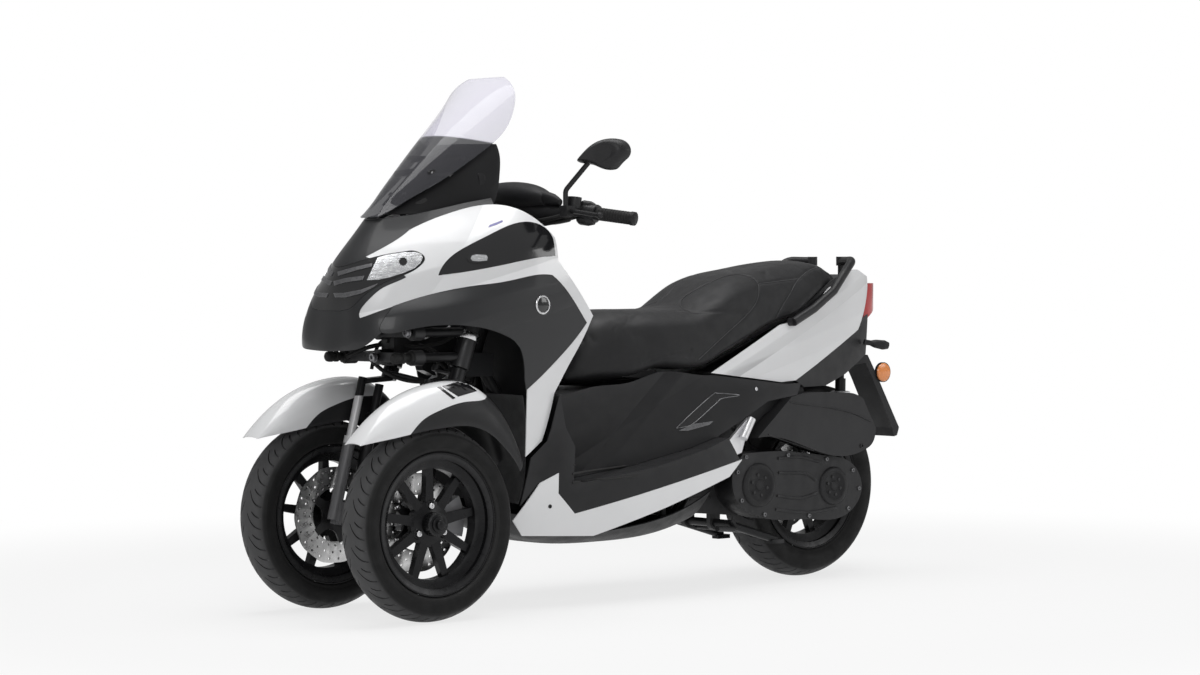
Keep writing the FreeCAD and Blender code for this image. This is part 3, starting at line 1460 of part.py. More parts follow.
def rear_indicator():
    """A round lamp on a short stalk, left side."""
    path = [body(-196, 58, 704), body(-206, 106, 702), body(-266, 120, 700)]
    stalk = up_to(bent_rod(path, 6, 10), tail_wrap, LEFT)
    lamp = Part.makeSphere(19, body(-272, 128, 700))
    return fuse(stalk, lamp.common(block(body(-300, 100, 680), body(-250, 160, 720))))


add("rear_indicators", both_sides(rear_indicator()))

# Engine, drive and exhaust

ENGINE = straight((540, 225), (520, 330), (450, 436), (330, 446), (292, 380), (292, 240), (330, 205))
ENGINE_RIGHT, ENGINE_LEFT = -78, 84
STAND_PIVOT = (400, 186)


def engine():
    """The engine as one block, with the two lugs that carry the centre stand."""
    x, z = STAND_PIVOT
    pivot = body(x, 0, z)
    shape = side_prism(ENGINE, ENGINE_RIGHT, ENGINE_LEFT)
    for y in (-64, 48):
        lug = block(body(x - 20, y, z), body(x + 20, y + 16, z + 34))
        shape = shape.fuse(lug).fuse(Part.makeCylinder(20, 16, body(x, y, z), LEFT))
    bore = rod(pivot - LEFT * 90, pivot + LEFT * 90, s.stand_tube_radius + s.stand_fit)
    return shape.cut(bore).removeSplitter()


engine_block = engine()
add("engine", engine_block)
CASE = [
    [
        (420, 347), (400, 250), (301, 200), (113, 186), (-60, 200), (-110, 268),
        (-80, 335), (40, 372), (200, 392),
    ],
    [(380, 392)],
]
belt_case = side_prism(CASE, 84.5, 164)
drive_shaft = rod(rear(0, 0, s.rear_tyre_radius), rear(0, 100, s.rear_tyre_radius), s.axle_radius)
hub_left = rear(0, s.rear_rim_width / 2 + 4.4, s.rear_tyre_radius)
drive_boss = rod(hub_left, rear(0, 90, s.rear_tyre_radius), 22)
add("belt_case", fuse(belt_case, drive_shaft, drive_boss))
AIR_BOX = [
    [(343, 438)],
    [(206, 553), (160, 562), (20, 560), (-63, 553)],
    [(-94, 538)],
    [(-146, 450), (-132, 404)],
    [(-100, 386), (125, 397), (198, 421)],
]
add("air_box", side_prism(AIR_BOX, 124, 188).cut(moved(belt_case, UP * s.seat_fit)))
SWING_ARM = [[(330, 300), (200, 330), (60, 300), (-34, 290), (-34, 254), (60, 246), (300, 230)]]
swing = side_prism(SWING_ARM, -128, -110.3)
axle_right = rod(rear(0, 0, s.rear_tyre_radius), rear(0, -126, s.rear_tyre_radius), s.axle_radius)
hub_right = rear(0, REAR_DISC_Y - s.disc_thickness / 2 - 0.4, s.rear_tyre_radius)
SHOCK_LOW, SHOCK_TOP = (-80, 98, 346), (-88, 98, 672)
SHOCK_EYE, SHOCK_EYE_HALF = 16, 10  # radius and half width of its eyes
shock_lug_foot = body(-30, -119, 280)
shock_lug_end = body(SHOCK_LOW[0], -111.3, SHOCK_LOW[2])
lug_arm = rod(shock_lug_foot, shock_lug_end - LEFT * 8, 8)
shock_lug = fuse(lug_arm, rod(shock_lug_end - LEFT * 16, shock_lug_end, 14))
axle_boss = rod(hub_right, rear(0, -112, s.rear_tyre_radius), 18)
arm_boss = rod(body(313, -120, 270), body(313, ENGINE_RIGHT - 0.3, 270), 17)
add("swing_arm", fuse(swing, axle_right, axle_boss, arm_boss, shock_lug))
CAN_FRONT, CAN_REAR = (230, -205, 330), (-300, -215, 420)
CAN_BODY, CAN_CAP, CAN_TIP = 440, 470, 500  # lengths from the can's front to these ends


def muffler():
    """Header pipe and silencer, on the right."""
    start = body(*CAN_FRONT)
    way = (body(*CAN_REAR) - start).normalize()
    cone = Part.makeCone(s.muffler_radius * 0.72, s.muffler_radius, 70, start, way)
    barrel = rod(start + way * 70, start + way * CAN_BODY, s.muffler_radius)
    cap = rod(start + way * CAN_BODY, start + way * CAN_CAP, s.muffler_radius - 8)
    outlet = rod(start + way * CAN_CAP, start + way * CAN_TIP, 24)
    port = body(400, ENGINE_RIGHT - 0.3, 250)
    header = bent_rod([port, body(400, -150, 250), body(330, -200, 285), start + way * 6], s.pipe_radius, 34)
    return fuse(cone, barrel, cap, outlet, header)


add("muffler", muffler())


def shock():
    top, low = body(*SHOCK_TOP), body(*SHOCK_LOW)
    way = (top - low).normalize()
    spring = rod(low + way * 50, low + way * 210, s.shock_radius)
    damper = rod(low, top, 11)
    eye_low = Part.makeCylinder(SHOCK_EYE, 2 * SHOCK_EYE_HALF, low - LEFT * SHOCK_EYE_HALF, LEFT)
    eye_top = Part.makeCylinder(SHOCK_EYE, 2 * SHOCK_EYE_HALF, top - LEFT * SHOCK_EYE_HALF, LEFT)
    can = rod(low + way * 210, low + way * 252, 16)
    return fuse(damper, spring, can, eye_low, eye_top).cut(moved(belt_case, UP * s.seat_fit))


add("rear_shocks", both_sides(shock()))
HUGGER = [(330, 130), (312, 112), (306, 92), (308, 72), (322, 52)]


def hugger():
    """The inner mudguard over the rear tyre."""
    rows = []
    for radius, degrees in HUGGER:
        turn = math.radians(degrees)
        x, z = radius * math.cos(turn), s.rear_tyre_radius + radius * math.sin(turn)
        rows.append([rear(x, y, z - drop) for y, drop in ((-72, 24), (-60, 6), (0, 0), (60, 6), (72, 24))])
    return panel(rows, s.skin, rear(0, 0, s.rear_tyre_radius))


case_stay = up_to(rod(body(95, 70.5, 548), body(95, 112, 360), 5), belt_case, UP)
add("rear_mudguard", fuse(hugger(), case_stay))


def centre_stand():
    pivot = body(STAND_PIVOT[0], 0, STAND_PIVOT[1])
    foot_way = (body(210, 0, 130) - pivot).normalize()
    cross = rod(pivot - LEFT * 142, pivot + LEFT * 142, s.stand_tube_radius)
    legs = []
    for sign in (1, -1):
        root = pivot + LEFT * 118 * sign
        foot = root + foot_way * s.stand_length
        legs.append(rod(root, foot, s.stand_tube_radius))
        legs.append(block(foot - Vector(24, 14, 12), foot + Vector(24, 14, 0)))
    brace = rod(pivot + foot_way * 90 - LEFT * 118, pivot + foot_way * 90 + LEFT * 118, 8)
    lever = bent_rod([pivot + LEFT * 130, body(440, 190, 176), body(520, 204, 184)], 8, 20)
    return fuse(cross, brace, lever, *legs)


add("centre_stand", centre_stand())


PEG_BRACKET = [(470, 436), (448, 391), (420, 400), (395, 470), (372, 492), (392, 500), (418, 480)]


def peg():
    """The passenger's folded foot peg with its bracket, left side."""
    bracket = side_prism(straight(*PEG_BRACKET), 192, 202)
    bar = rod(body(384, 206, 496), body(424, 212, 440), s.peg_radius)
    return fuse(bracket, bar)


add("pegs", both_sides(peg()))

# Stays that join the bodywork and the engine to the frame


def stay(start, end, radius, wall, way):
    """A round stay on each side. It stops just short of the wall it carries."""
    piece = up_to(rod(body(*start), body(*end), radius), wall, way)
    return [piece, mirrored(piece)]


belly_stays = stay((1000, 94, 215), (1000, 94, 150), 8, belly_pan, UP)
belly_stays += stay((700, 98, 215), (700, 98, 150), 8, belly_pan, UP)
floor_stays = []
for x in (1000, 700):
    floor_stays += both_sides(rod(body(x, 96, 222), body(x, 178, 222), 9)).Solids
    floor_stays += stay((x, 170, 222), (x, 170, 440), 9, floor, UP * -1)
shell_stays = [rod(body(1208, 0, 835), body(1462, 0, 870), 12)]
shell_stays += stay((1455, 0, 869), (1455, 280, 869), 9, front_shell, LEFT * -1)
shell_stays += both_sides(rod(body(1455, 60, 869), body(1400, 60, 960), 8)).Solids
shell_stays += stay((1400, 60, 960), (1478, 60, 1170), 8, dash, FORWARDS * -1)
other_stays = [up_to(rod(body(1232, 0, 780), body(1120, 0, 780), 12), leg_shield, FORWARDS)]
other_stays += stay((1188, 50, 500), (1232, 50, 500), 9, splash_panel, FORWARDS * -1)
other_stays += stay((625, 100, 222), (625, 192, 496), 8, tunnel_shell, LEFT * -1)
other_stays += stay((330, 155, 598), (330, 215, 575), 8, tunnel_shell, LEFT * -1)
other_stays += stay((50, 108, 711), (50, 162, 711), 9, tail_shell, LEFT * -1)
other_stays += stay((640, 40, 216), (500, 40, 272), 10, engine_block, FORWARDS)
lamp_stay = up_to(rod(body(-120, 0, 790), body(-250, 0, 818), 12), tail_light, FORWARDS)
box_stays = both_sides(rod(body(470, 158, 520), body(470, 138 + s.seat_fit, 520), 8)).Solids
shock_top = body(*SHOCK_TOP) + UP * (SHOCK_EYE + s.seat_fit)
shock_stays = both_sides(rod(shock_top, shock_top + UP * 85, 9)).Solids
stays = belly_stays + floor_stays + shell_stays + other_stays + [lamp_stay] + box_stays + shock_stays
add("frame", fuse(main_frame, *stays).cut(head_bore()))

# Checks and files

doc.recompute()
os.makedirs("parts", exist_ok=True)
for thing in doc.Objects:
    if "Invalid" in thing.State or "Error" in thing.State:
        raise SystemExit("failed: %s %s" % (thing.Label, thing.State))
for node in NODES:
    if node.Shape.isNull() or not node.Shape.isValid():
        raise SystemExit("not a valid shape: " + node.Label)
for node in NODES:
    node.Shape.exportStep("parts/%s.step" % node.Label)
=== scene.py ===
"""Looks of the reverse trike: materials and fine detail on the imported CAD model, in metres."""
import math

import bmesh
import bpy
from mathutils import Matrix, Vector
from mathutils.bvhtree import BVHTree
from mathutils.geometry import delaunay_2d_cdt


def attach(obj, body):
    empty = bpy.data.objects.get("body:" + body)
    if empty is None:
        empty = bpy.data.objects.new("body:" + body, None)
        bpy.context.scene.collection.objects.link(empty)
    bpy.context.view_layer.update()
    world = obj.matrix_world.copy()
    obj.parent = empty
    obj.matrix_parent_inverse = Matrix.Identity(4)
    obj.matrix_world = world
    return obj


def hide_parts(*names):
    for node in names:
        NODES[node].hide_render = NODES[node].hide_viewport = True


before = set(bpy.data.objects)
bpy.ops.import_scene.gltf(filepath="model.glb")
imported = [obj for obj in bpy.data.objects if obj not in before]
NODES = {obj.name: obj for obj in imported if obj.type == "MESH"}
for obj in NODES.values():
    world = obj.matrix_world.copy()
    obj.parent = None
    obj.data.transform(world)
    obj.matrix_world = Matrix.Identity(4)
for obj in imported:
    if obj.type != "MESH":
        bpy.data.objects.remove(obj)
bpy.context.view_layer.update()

# Places shared with the CAD model, in metres

FRONT_X = 0.863  # front axle
REAR_X = -0.732  # rear axle
FRONT_R = 0.262
REAR_R = 0.276
TRACK = 0.470
CASTER = math.radians(20)
ARM_FRONT = FRONT_X - 0.013  # front face of the tilt arms
ARM_LEVELS = (0.700, 0.768)
KINGPIN_Y = 0.150
BAR_TIP = Vector((FRONT_X - 0.587, 0.407, 1.072))  # end of the left grip
BAR_WAY = (Vector((FRONT_X - 0.517, 0.225, 1.0974)) - BAR_TIP).normalized()
UP = Vector((0, 0, 1))
OUT = Vector((0, 1, 0))  # towards the part's left side


def rear(x, y, z):
    """A point given in millimetres from the rear axle, at ground height."""
    return Vector((REAR_X + x / 1000, y / 1000, z / 1000))


# Camera at the photograph's viewpoint

CAMERA_AT = (6.11003, 7.06699, 0.96905)
YAW, PITCH, ROLL = math.radians(-130.693), math.radians(-1.563), math.radians(-0.278)
FOCAL = 97.24  # millimetres
SENSOR = 36
PHOTO_WIDE, PHOTO_HIGH = 1200, 675
SHIFT_X, SHIFT_Y = -0.00488, 0.00642


def make_camera():
    data = bpy.data.cameras.new("camera")
    camera = bpy.data.objects.new("camera", data)
    bpy.context.scene.collection.objects.link(camera)
    ahead = Vector((math.cos(PITCH) * math.cos(YAW), math.cos(PITCH) * math.sin(YAW), math.sin(PITCH)))
    level = ahead.cross(UP).normalized()
    upright = level.cross(ahead)
    right = math.cos(ROLL) * level + math.sin(ROLL) * upright
    up = math.cos(ROLL) * upright - math.sin(ROLL) * level
    turn = Matrix((right, up, -ahead)).transposed().to_4x4()
    camera.matrix_world = Matrix.Translation(CAMERA_AT) @ turn
    data.sensor_width = SENSOR
    data.lens = FOCAL
    data.shift_x = SHIFT_X
    data.shift_y = SHIFT_Y
    data.clip_start = 0.1
    data.clip_end = 200
    bpy.context.scene.camera = camera


make_camera()
bpy.context.scene.view_settings.view_transform = "Standard"


# Materials

DULL = 0.24  # specular level of plastic and powder coat
PATCHES = (0.3, 0.7)  # the noise values between which a surface varies
SHARP = 0.0004  # half the width of a colour's edge, in metres


class Look:
    """A node material on a Principled shader, with helpers for the patterns it needs."""

    def __init__(self, name, color, rough=0.5, metal=0.0):
        self.material = bpy.data.materials.new(name)
        self.material.use_nodes = True
        self.tree = self.material.node_tree
        self.shader = self.tree.nodes["Principled BSDF"]
        self.place = self.tree.nodes.new("ShaderNodeTexCoord").outputs["Object"]
        self.color = color
        self.set("Base Color", (*color, 1))
        self.set("Roughness", rough)
        self.set("Metallic", metal)

    def set(self, socket, value):
        self.shader.inputs[socket].default_value = value
        return self

    def node(self, kind, **facts):
        made = self.tree.nodes.new(kind)
        for key, value in facts.items():
            setattr(made, key, value)
        return made

    def link(self, out, into):
        self.tree.links.new(out, into)

    def math(self, operation, a, b=None, c=None, clamp=False):
        made = self.node("ShaderNodeMath", operation=operation, use_clamp=clamp)
        for slot, value in zip(made.inputs, (a, b, c)):
            if value is None:
                continue
            if isinstance(value, (int, float)):
                slot.default_value = value
            else:
                self.link(value, slot)
        return made.outputs[0]

    def axis(self, name):
        parts = self.node("ShaderNodeSeparateXYZ")
        self.link(self.place, parts.inputs[0])
        return parts.outputs[name]

    def stretched(self, stretch):
        if stretch is None:
            return self.place
        made = self.node("ShaderNodeMapping")
        made.inputs["Scale"].default_value = stretch
        self.link(self.place, made.inputs["Vector"])
        return made.outputs[0]

    def noise(self, scale, detail=2.0, stretch=None):
        made = self.node("ShaderNodeTexNoise")
        made.inputs["Scale"].default_value = scale
        made.inputs["Detail"].default_value = detail
        self.link(self.stretched(stretch), made.inputs["Vector"])
        return made.outputs["Fac"]

    def cells(self, scale):
        made = self.node("ShaderNodeTexVoronoi")
        made.inputs["Scale"].default_value = scale
        self.link(self.place, made.inputs["Vector"])
        return made.outputs["Distance"]

    def ranged(self, value, low, high, to_low, to_high, smooth=False):
        made = self.node("ShaderNodeMapRange")
        if smooth:
            made.interpolation_type = "SMOOTHSTEP"
        self.link(value, made.inputs["Value"])
        for slot, number in zip(made.inputs[1:5], (low, high, to_low, to_high)):
            slot.default_value = number
        return made.outputs[0]

    def mixed(self, share, first, second):
        """A colour between two. Each is a colour or a socket."""
        made = self.node("ShaderNodeMix", data_type="RGBA")
        self.link(share, made.inputs[0])
        for slot, value in ((made.inputs[6], first), (made.inputs[7], second)):
            if isinstance(value, tuple):
                slot.default_value = (*value, 1)
            else:
                self.link(value, slot)
        return made.outputs[2]

    def tint(self, share, color):
        """Lays another colour over the base colour by a share."""
        base = self.shader.inputs["Base Color"]
        under = base.links[0].from_socket if base.links else tuple(base.default_value)[:3]
        self.link(self.mixed(share, under, color), base)
        return self

    def vary(self, scale, amount, stretch=None):
        """Light and dark patches in the base colour."""
        share = self.ranged(self.noise(scale, 3.0, stretch), *PATCHES, 0, 1)
        dark = tuple(c * (1 - amount) for c in self.color)
        light = tuple(min(1.0, c * (1 + amount) + amount * 0.02) for c in self.color)
        self.link(self.mixed(share, dark, light), self.shader.inputs["Base Color"])
        return self

    def vary_rough(self, scale, low, high, stretch=None):
        """Duller and shinier patches."""
        share = self.ranged(self.noise(scale, 3.0, stretch), *PATCHES, low, high)
        self.link(share, self.shader.inputs["Roughness"])
        return self

    def worn(self, color, low=0.52, high=0.6, share=0.5):
        """A paler line along sharp edges."""
        point = self.node("ShaderNodeNewGeometry").outputs["Pointiness"]
        return self.tint(self.ranged(point, low, high, 0, share), color)

    def bump(self, height, strength, distance=0.001):
        made = self.node("ShaderNodeBump")
        made.inputs["Strength"].default_value = strength
        made.inputs["Distance"].default_value = distance
        normal = self.shader.inputs["Normal"]
        if normal.links:
            self.link(normal.links[0].from_socket, made.inputs["Normal"])
        self.link(height, made.inputs["Height"])
        self.link(made.outputs[0], normal)
        return self

    def side_of(self, start, end):
        """Signed distance in side view from a line of (x, z) points, positive above it."""
        (x0, z0), (x1, z1) = start, end
        length = math.hypot(x1 - x0, z1 - z0)
        nx, nz = -(z1 - z0) / length, (x1 - x0) / length
        if nz < 0:
            nx, nz = -nx, -nz
        across = self.math("MULTIPLY", self.axis("X"), nx)
        rise = self.math("MULTIPLY_ADD", self.axis("Z"), nz, across)
        return self.math("SUBTRACT", rise, x0 * nx + z0 * nz)

    def within(self, *lines):
        """One inside all of the lines, each (start, end, sign), and nought outside."""
        share = None
        for start, end, sign in lines:
            inside = self.math("MULTIPLY", self.side_of(start, end), sign)
            edge = self.ranged(inside, -SHARP, SHARP, 0, 1)
            share = edge if share is None else self.math("MINIMUM", share, edge)
        return share

    def fold(self, start, end, sign, tilt, soft=0.006, depth=0.06):
        """A crease in side view: past the line the panel turns by a tilt, for a depth in metres."""
        away = self.math("MULTIPLY", self.side_of(start, end), sign)
        past = self.math("MAXIMUM", away, 0.0)
        past = self.math("MINIMUM", past, depth)
        curved = self.math("DIVIDE", self.math("MULTIPLY", past, past), self.math("ADD", past, soft))
        height = self.math("MULTIPLY", curved, -tilt)
        return self.bump(height, 1.0, 1.0)


def paint(name, color, rough=0.22, flake=0.0, coat=0.6, shine=0.45):
    """Clear-coated paint with a slight orange peel and, by a share, metal flakes."""
    look = Look(name, color, rough)
    look.set("Coat Weight", coat).set("Coat Roughness", 0.06).set("Specular IOR Level", shine)
    look.vary(6, 0.02).vary_rough(14, rough - 0.04, rough + 0.05)
    look.bump(look.noise(420, 1.0), 0.04, 0.0004)
    if flake:
        share = look.ranged(look.cells(2600), 0.05, 0.25, flake, 0)
        look.tint(share, (0.75, 0.76, 0.78))
    return look


def grained(name, color, rough=0.55, grain=900, depth=0.25, coat=0.0):
    """Moulded plastic with a fine leather grain."""
    look = Look(name, color, rough)
    look.set("Specular IOR Level", DULL)
    look.vary(9, 0.08).vary_rough(25, rough - 0.07, rough + 0.08)
    look.set("Coat Weight", coat).set("Coat Roughness", 0.3)
    look.bump(look.cells(grain), depth, 0.0005)
    look.worn(tuple(min(1, c * 2.2 + 0.02) for c in color), share=0.35)
    return look


def cast(name, color, rough=0.5, metal=0.0, grain=1300, depth=0.3):
    """Powder-coated or bare cast metal."""
    look = Look(name, color, rough, metal)
    look.set("Specular IOR Level", DULL)
    look.vary(18, 0.1).vary_rough(40, rough - 0.08, rough + 0.1)
    look.bump(look.noise(grain, 3.0), depth, 0.0004)
    look.worn(tuple(min(1, c * 1.8 + 0.05) for c in color), share=0.4)
    return look


def brushed(name, color, rough=0.3, stretch=(1, 1, 1)):
    """Bare metal with fine marks along one way."""
    look = Look(name, color, rough, 1.0)
    look.vary(30, 0.06, stretch).vary_rough(60, rough - 0.08, rough + 0.1, stretch)
    look.bump(look.noise(900, 2.0, stretch), 0.08, 0.0003)
    return look


def spot(x, z):
    """A point of the side view in metres, from millimetres ahead of the rear axle and above the ground."""
    return (REAR_X + x / 1000, z / 1000)


def graphite(name):
    return paint(name, (0.022, 0.0225, 0.024), 0.34, 0.04, 0.15, 0.3)


WHITE = (0.78, 0.785, 0.795)
SCREEN_TINT = (0.62, 0.60, 0.72)
SMOKE_TINT = (0.055, 0.055, 0.062)
SMOKE_EDGE = (1.160, 1.154)  # heights in metres between which the screen's smoke begins

LOOKS = {
    "white": paint("white_paint", WHITE),
    "graphite": graphite("graphite_paint"),
    "gloss_black": paint("gloss_black", (0.009, 0.009, 0.010), 0.1),
    "satin_black": grained("satin_black", (0.013, 0.013, 0.014), 0.42, 1100, 0.12, coat=0.1),
    "grain_black": grained("grained_black", (0.010, 0.010, 0.011), 0.5),
    "grain_grey": grained("grained_grey", (0.013, 0.013, 0.014), 0.46, 1000, 0.18, coat=0.08),
    "black_metal": cast("black_metal", (0.013, 0.013, 0.014), 0.38, 0.3),
    "wheel_black": cast("wheel_black", (0.008, 0.008, 0.009), 0.3, 0.2, depth=0.15),
    "engine_black": cast("engine_black", (0.016, 0.016, 0.017), 0.48, 0.3),
    "alloy": cast("alloy", (0.55, 0.55, 0.57), 0.36, 0.9),
    "grey_alloy": cast("grey_alloy", (0.24, 0.24, 0.25), 0.4, 0.8),
    "steel": brushed("steel", (0.62, 0.62, 0.63), 0.24),
    "disc_steel": brushed("disc_steel", (0.60, 0.60, 0.60), 0.3),
    "rubber": grained("rubber", (0.012, 0.012, 0.012), 0.62, 700, 0.2),
    "silver_lens": brushed("silver_lens", (0.86, 0.87, 0.89), 0.2, stretch=(1, 1, 9)),
    "lamp_fin": cast("lamp_fin", (0.13, 0.13, 0.135), 0.25, 0.5, depth=0.1),
    "smoked": paint("smoked_lens", (0.012, 0.012, 0.013), 0.06),
    "mirror_glass": brushed("mirror_glass", (0.72, 0.74, 0.76), 0.1),
    "display": paint("display_glass", (0.010, 0.014, 0.016), 0.07),
    "thread": grained("thread", (0.055, 0.055, 0.057), 0.6),
    "blue": paint("blue_mark", (0.055, 0.048, 0.24)),
    "red_lens": paint("red_lens", (0.45, 0.012, 0.012), 0.1),
    "amber_lens": paint("amber_lens", (0.80, 0.27, 0.07), 0.16),
}


def cowl_look():
    """White cowl paint with the panel's folds."""
    look = paint("cowl_paint", WHITE)
    look.fold(spot(1690, 905), spot(1120, 1045), -1, 0.42, 0.010, 0.07)
    look.fold(spot(1735, 800), spot(1560, 985), -1, 0.22, 0.012, 0.08)
    return look


def panel_look():
    """Graphite side panel with a shallow recess round the badge."""
    look = graphite("side_panel_paint")
    look.fold(spot(1620, 760), spot(1150, 872), -1, 0.35, 0.010, 0.05)
    look.fold(spot(1530, 835), spot(1150, 895), 1, 0.30, 0.010, 0.04)
    return look


def tail_look():
    """White tail cowl. A long fold splits it into a bright upper and a shaded lower plane."""
    look = paint("tail_paint", WHITE)
    look.fold(spot(420, 655), spot(-120, 880), -1, 0.5, 0.006, 0.035)
    look.fold(spot(450, 640), spot(-200, 800), -1, 0.18, 0.010, 0.05)
    return look


def tunnel_look():
    """Dark tunnel side with the two folds that sweep back and up."""
    look = grained("tunnel_plastic", (0.011, 0.011, 0.012), 0.46, 1000, 0.18, coat=0.08)
    look.fold(spot(830, 440), spot(600, 640), 1, 0.5, 0.010, 0.05)
    look.fold(spot(1060, 470), spot(700, 640), -1, 0.3, 0.015, 0.08)
    return look


def fork_look():
    """Black crown, bright upper tube and grey lower leg on the front leg, and a grey caliper."""
    look = cast("fork_metal", (0.013, 0.013, 0.014), 0.38, 0.3)
    front_leg = [(spot(1648, 251), spot(1543, 640), -1), (spot(1604, 251), spot(1499, 640), 1)]
    lower = look.within(*front_leg, (spot(1400, 462), spot(1700, 462), -1))
    above = (spot(1400, 462), spot(1700, 462), 1)
    upper = look.within(*front_leg, above, (spot(1400, 590), spot(1700, 590), -1))
    brake = look.within((spot(1522, 100), spot(1522, 400), 1), (spot(1400, 345), spot(1600, 345), -1))
    look.tint(lower, (0.16, 0.16, 0.165))
    look.tint(upper, (0.66, 0.66, 0.67))
    look.tint(brake, (0.26, 0.26, 0.27))
    return look


def seat_look():
    """Black seat cover: fine pebble grain over the foam."""
    look = Look("seat_cover", (0.012, 0.012, 0.013), 0.5)
    look.set("Sheen Weight", 0.02).set("Sheen Roughness", 0.5).set("Specular IOR Level", 0.3)
    look.vary(12, 0.1).vary_rough(30, 0.44, 0.6)
    look.bump(look.cells(650), 0.35, 0.0006).bump(look.noise(40, 2.0), 0.1, 0.002)
    return look


def tyre_look():
    """Black rubber, with the tread painted a little greyer than the sides as painted light where it faces the
    lamps.
    """
    look = Look("tyre_rubber", (0.007, 0.007, 0.0072), 0.6)
    look.set("Specular IOR Level", 0.2)
    look.vary(20, 0.14).vary_rough(35, 0.5, 0.7)
    facing = look.node("ShaderNodeSeparateXYZ")
    look.link(look.node("ShaderNodeTexCoord").outputs["Normal"], facing.inputs[0])
    sideways = look.math("ABSOLUTE", facing.outputs["Y"])
    # Painted light: the tread, which faces the lamps, is tinted greyer than the shaded sides.
    look.tint(look.ranged(sideways, 0.45, 0.85, 0.9, 0, smooth=True), (0.085, 0.085, 0.087))
    look.bump(look.noise(800, 2.0), 0.18, 0.0005)
    look.worn((0.05, 0.05, 0.05), 0.51, 0.58, 0.35)
    return look


def screen_look():
    """Screen: violet-grey tint at the top, smoked to nearly black over the dash."""
    look = Look("clear_screen", SCREEN_TINT, 0.05)
    look.set("IOR", 1.45).set("Specular IOR Level", 0.5)
    height = look.math("MULTIPLY_ADD", look.axis("X"), -0.22, look.axis("Z"))
    look.tint(look.ranged(height, *SMOKE_EDGE, 0, 1, smooth=True), SMOKE_TINT)
    look.link(look.ranged(height, *SMOKE_EDGE, 0.34, 0.72, smooth=True), look.shader.inputs["Alpha"])
    look.bump(look.noise(30, 1.0), 0.02, 0.0005)
    return look


LOOKS.update({
    "cowl": cowl_look(), "side_panel": panel_look(), "tail": tail_look(), "tunnel": tunnel_look(),
    "seat": seat_look(), "fork": fork_look(), "tyre": tyre_look(), "screen": screen_look(),
})


def dress(obj, look):
    obj.data.materials.clear()
    obj.data.materials.append(LOOKS[look].material)


NODES_BY_LOOK = {
    "cowl": "side_cowls",
    "white": "under_covers fender_left fender_right",
    "tail": "tail_cowls",
    "satin_black": "fender_skirt_left fender_skirt_right controls mirrors rear_indicators grab_bars",
    "side_panel": "side_panels",
    "graphite": "lower_cowl nose_panel",
    "gloss_black": "intake_panels headlight",
    "screen": "windshield",
    "grain_black": (
        "dash_cowl leg_shield splash_panel belly_pan rear_mudguard plate_holder "
        "storage_box bar_cover"
    ),
    "grain_grey": "floorboards tunnel_top fuel_lid tail_trim air_box",
    "tunnel": "tunnel_covers",
    "rubber": "grips",
    "seat": "seat",
    "red_lens": "tail_light",
    "tyre": "tyre_front_left tyre_front_right tyre_rear",
    "wheel_black": "rim_front_left rim_front_right rim_rear",
    "disc_steel": "disc_front_left disc_front_right disc_rear",
    "fork": "fork_left fork_right",
    "black_metal": (
        "side_heads tilt_arms frame handlebar tie_rod_left tie_rod_right fuel_tank "
        "swing_arm muffler rear_shocks centre_stand"
    ),
    "engine_black": "engine belt_case",
    "alloy": "pegs",
}
for look, names in NODES_BY_LOOK.items():
    for name in names.split():
        dress(NODES[name], look)


# Building helpers: each piece is one mesh that rides on a CAD body

MERGE = 1e-6


def add_object(name, mesh):
    obj = bpy.data.objects.new(name, mesh)
    bpy.context.scene.collection.objects.link(obj)
    return obj


def piece(name, points, faces, look, slot, body, smooth=35):
    """A new mesh piece. Smooth is the angle in degrees above which an edge stays sharp."""
    mesh = bpy.data.meshes.new(name)
    mesh.from_pydata([tuple(p) for p in points], [], faces)
    return finish_mesh(name, mesh, look, body, smooth)


def finish_mesh(name, mesh, look, body, smooth):
    tidy = bmesh.new()
    tidy.from_mesh(mesh)
    bmesh.ops.remove_doubles(tidy, verts=tidy.verts, dist=MERGE)
    bmesh.ops.recalc_face_normals(tidy, faces=tidy.faces)
    limit = math.radians(smooth)
    for edge in tidy.edges:
        if len(edge.link_faces) == 2 and edge.calc_face_angle(0) > limit:
            edge.smooth = False
    for face in tidy.faces:
        face.smooth = True
    tidy.to_mesh(mesh)
    tidy.free()
    obj = add_object(name, mesh)
    dress(obj, look)
    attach(obj, body)
    return obj


def joined(parts):
    """One list of points and one of faces from several."""
    points, faces = [], []
    for some_points, some_faces in parts:
        first = len(points)
        points += some_points
        faces += [tuple(first + k for k in face) for face in some_faces]
    return points, faces


def mirrored(points, faces):
    """The data's mirror image across the centre plane."""
    return [Vector((p.x, -p.y, p.z)) for p in points], [tuple(reversed(face)) for face in faces]


def two_sided(points, faces):
    """The data with its mirror image across the centre plane."""
    return joined([(points, faces), mirrored(points, faces)])


def on_both_sides(name, parts, look, slot, body, smooth):
    return piece(name, *two_sided(*joined(parts)), look, slot, body, smooth)


def band_faces(rings, count):
    """Quads between closed rings of count points each."""
    return [
        (r * count + i, r * count + (i + 1) % count, (r + 1) * count + (i + 1) % count, (r + 1) * count + i)
        for r in range(rings - 1) for i in range(count)
    ]


def closed_faces(rings, count):
    """Quads between closed rings, and a face over each end."""
    last = (rings - 1) * count
    return band_faces(rings, count) + [tuple(range(count)), tuple(range(last, last + count))]


def frame_of(axis):
    """Two unit vectors square to an axis."""
    axis = Vector(axis).normalized()
    side = axis.orthogonal().normalized()
    return side, axis.cross(side)


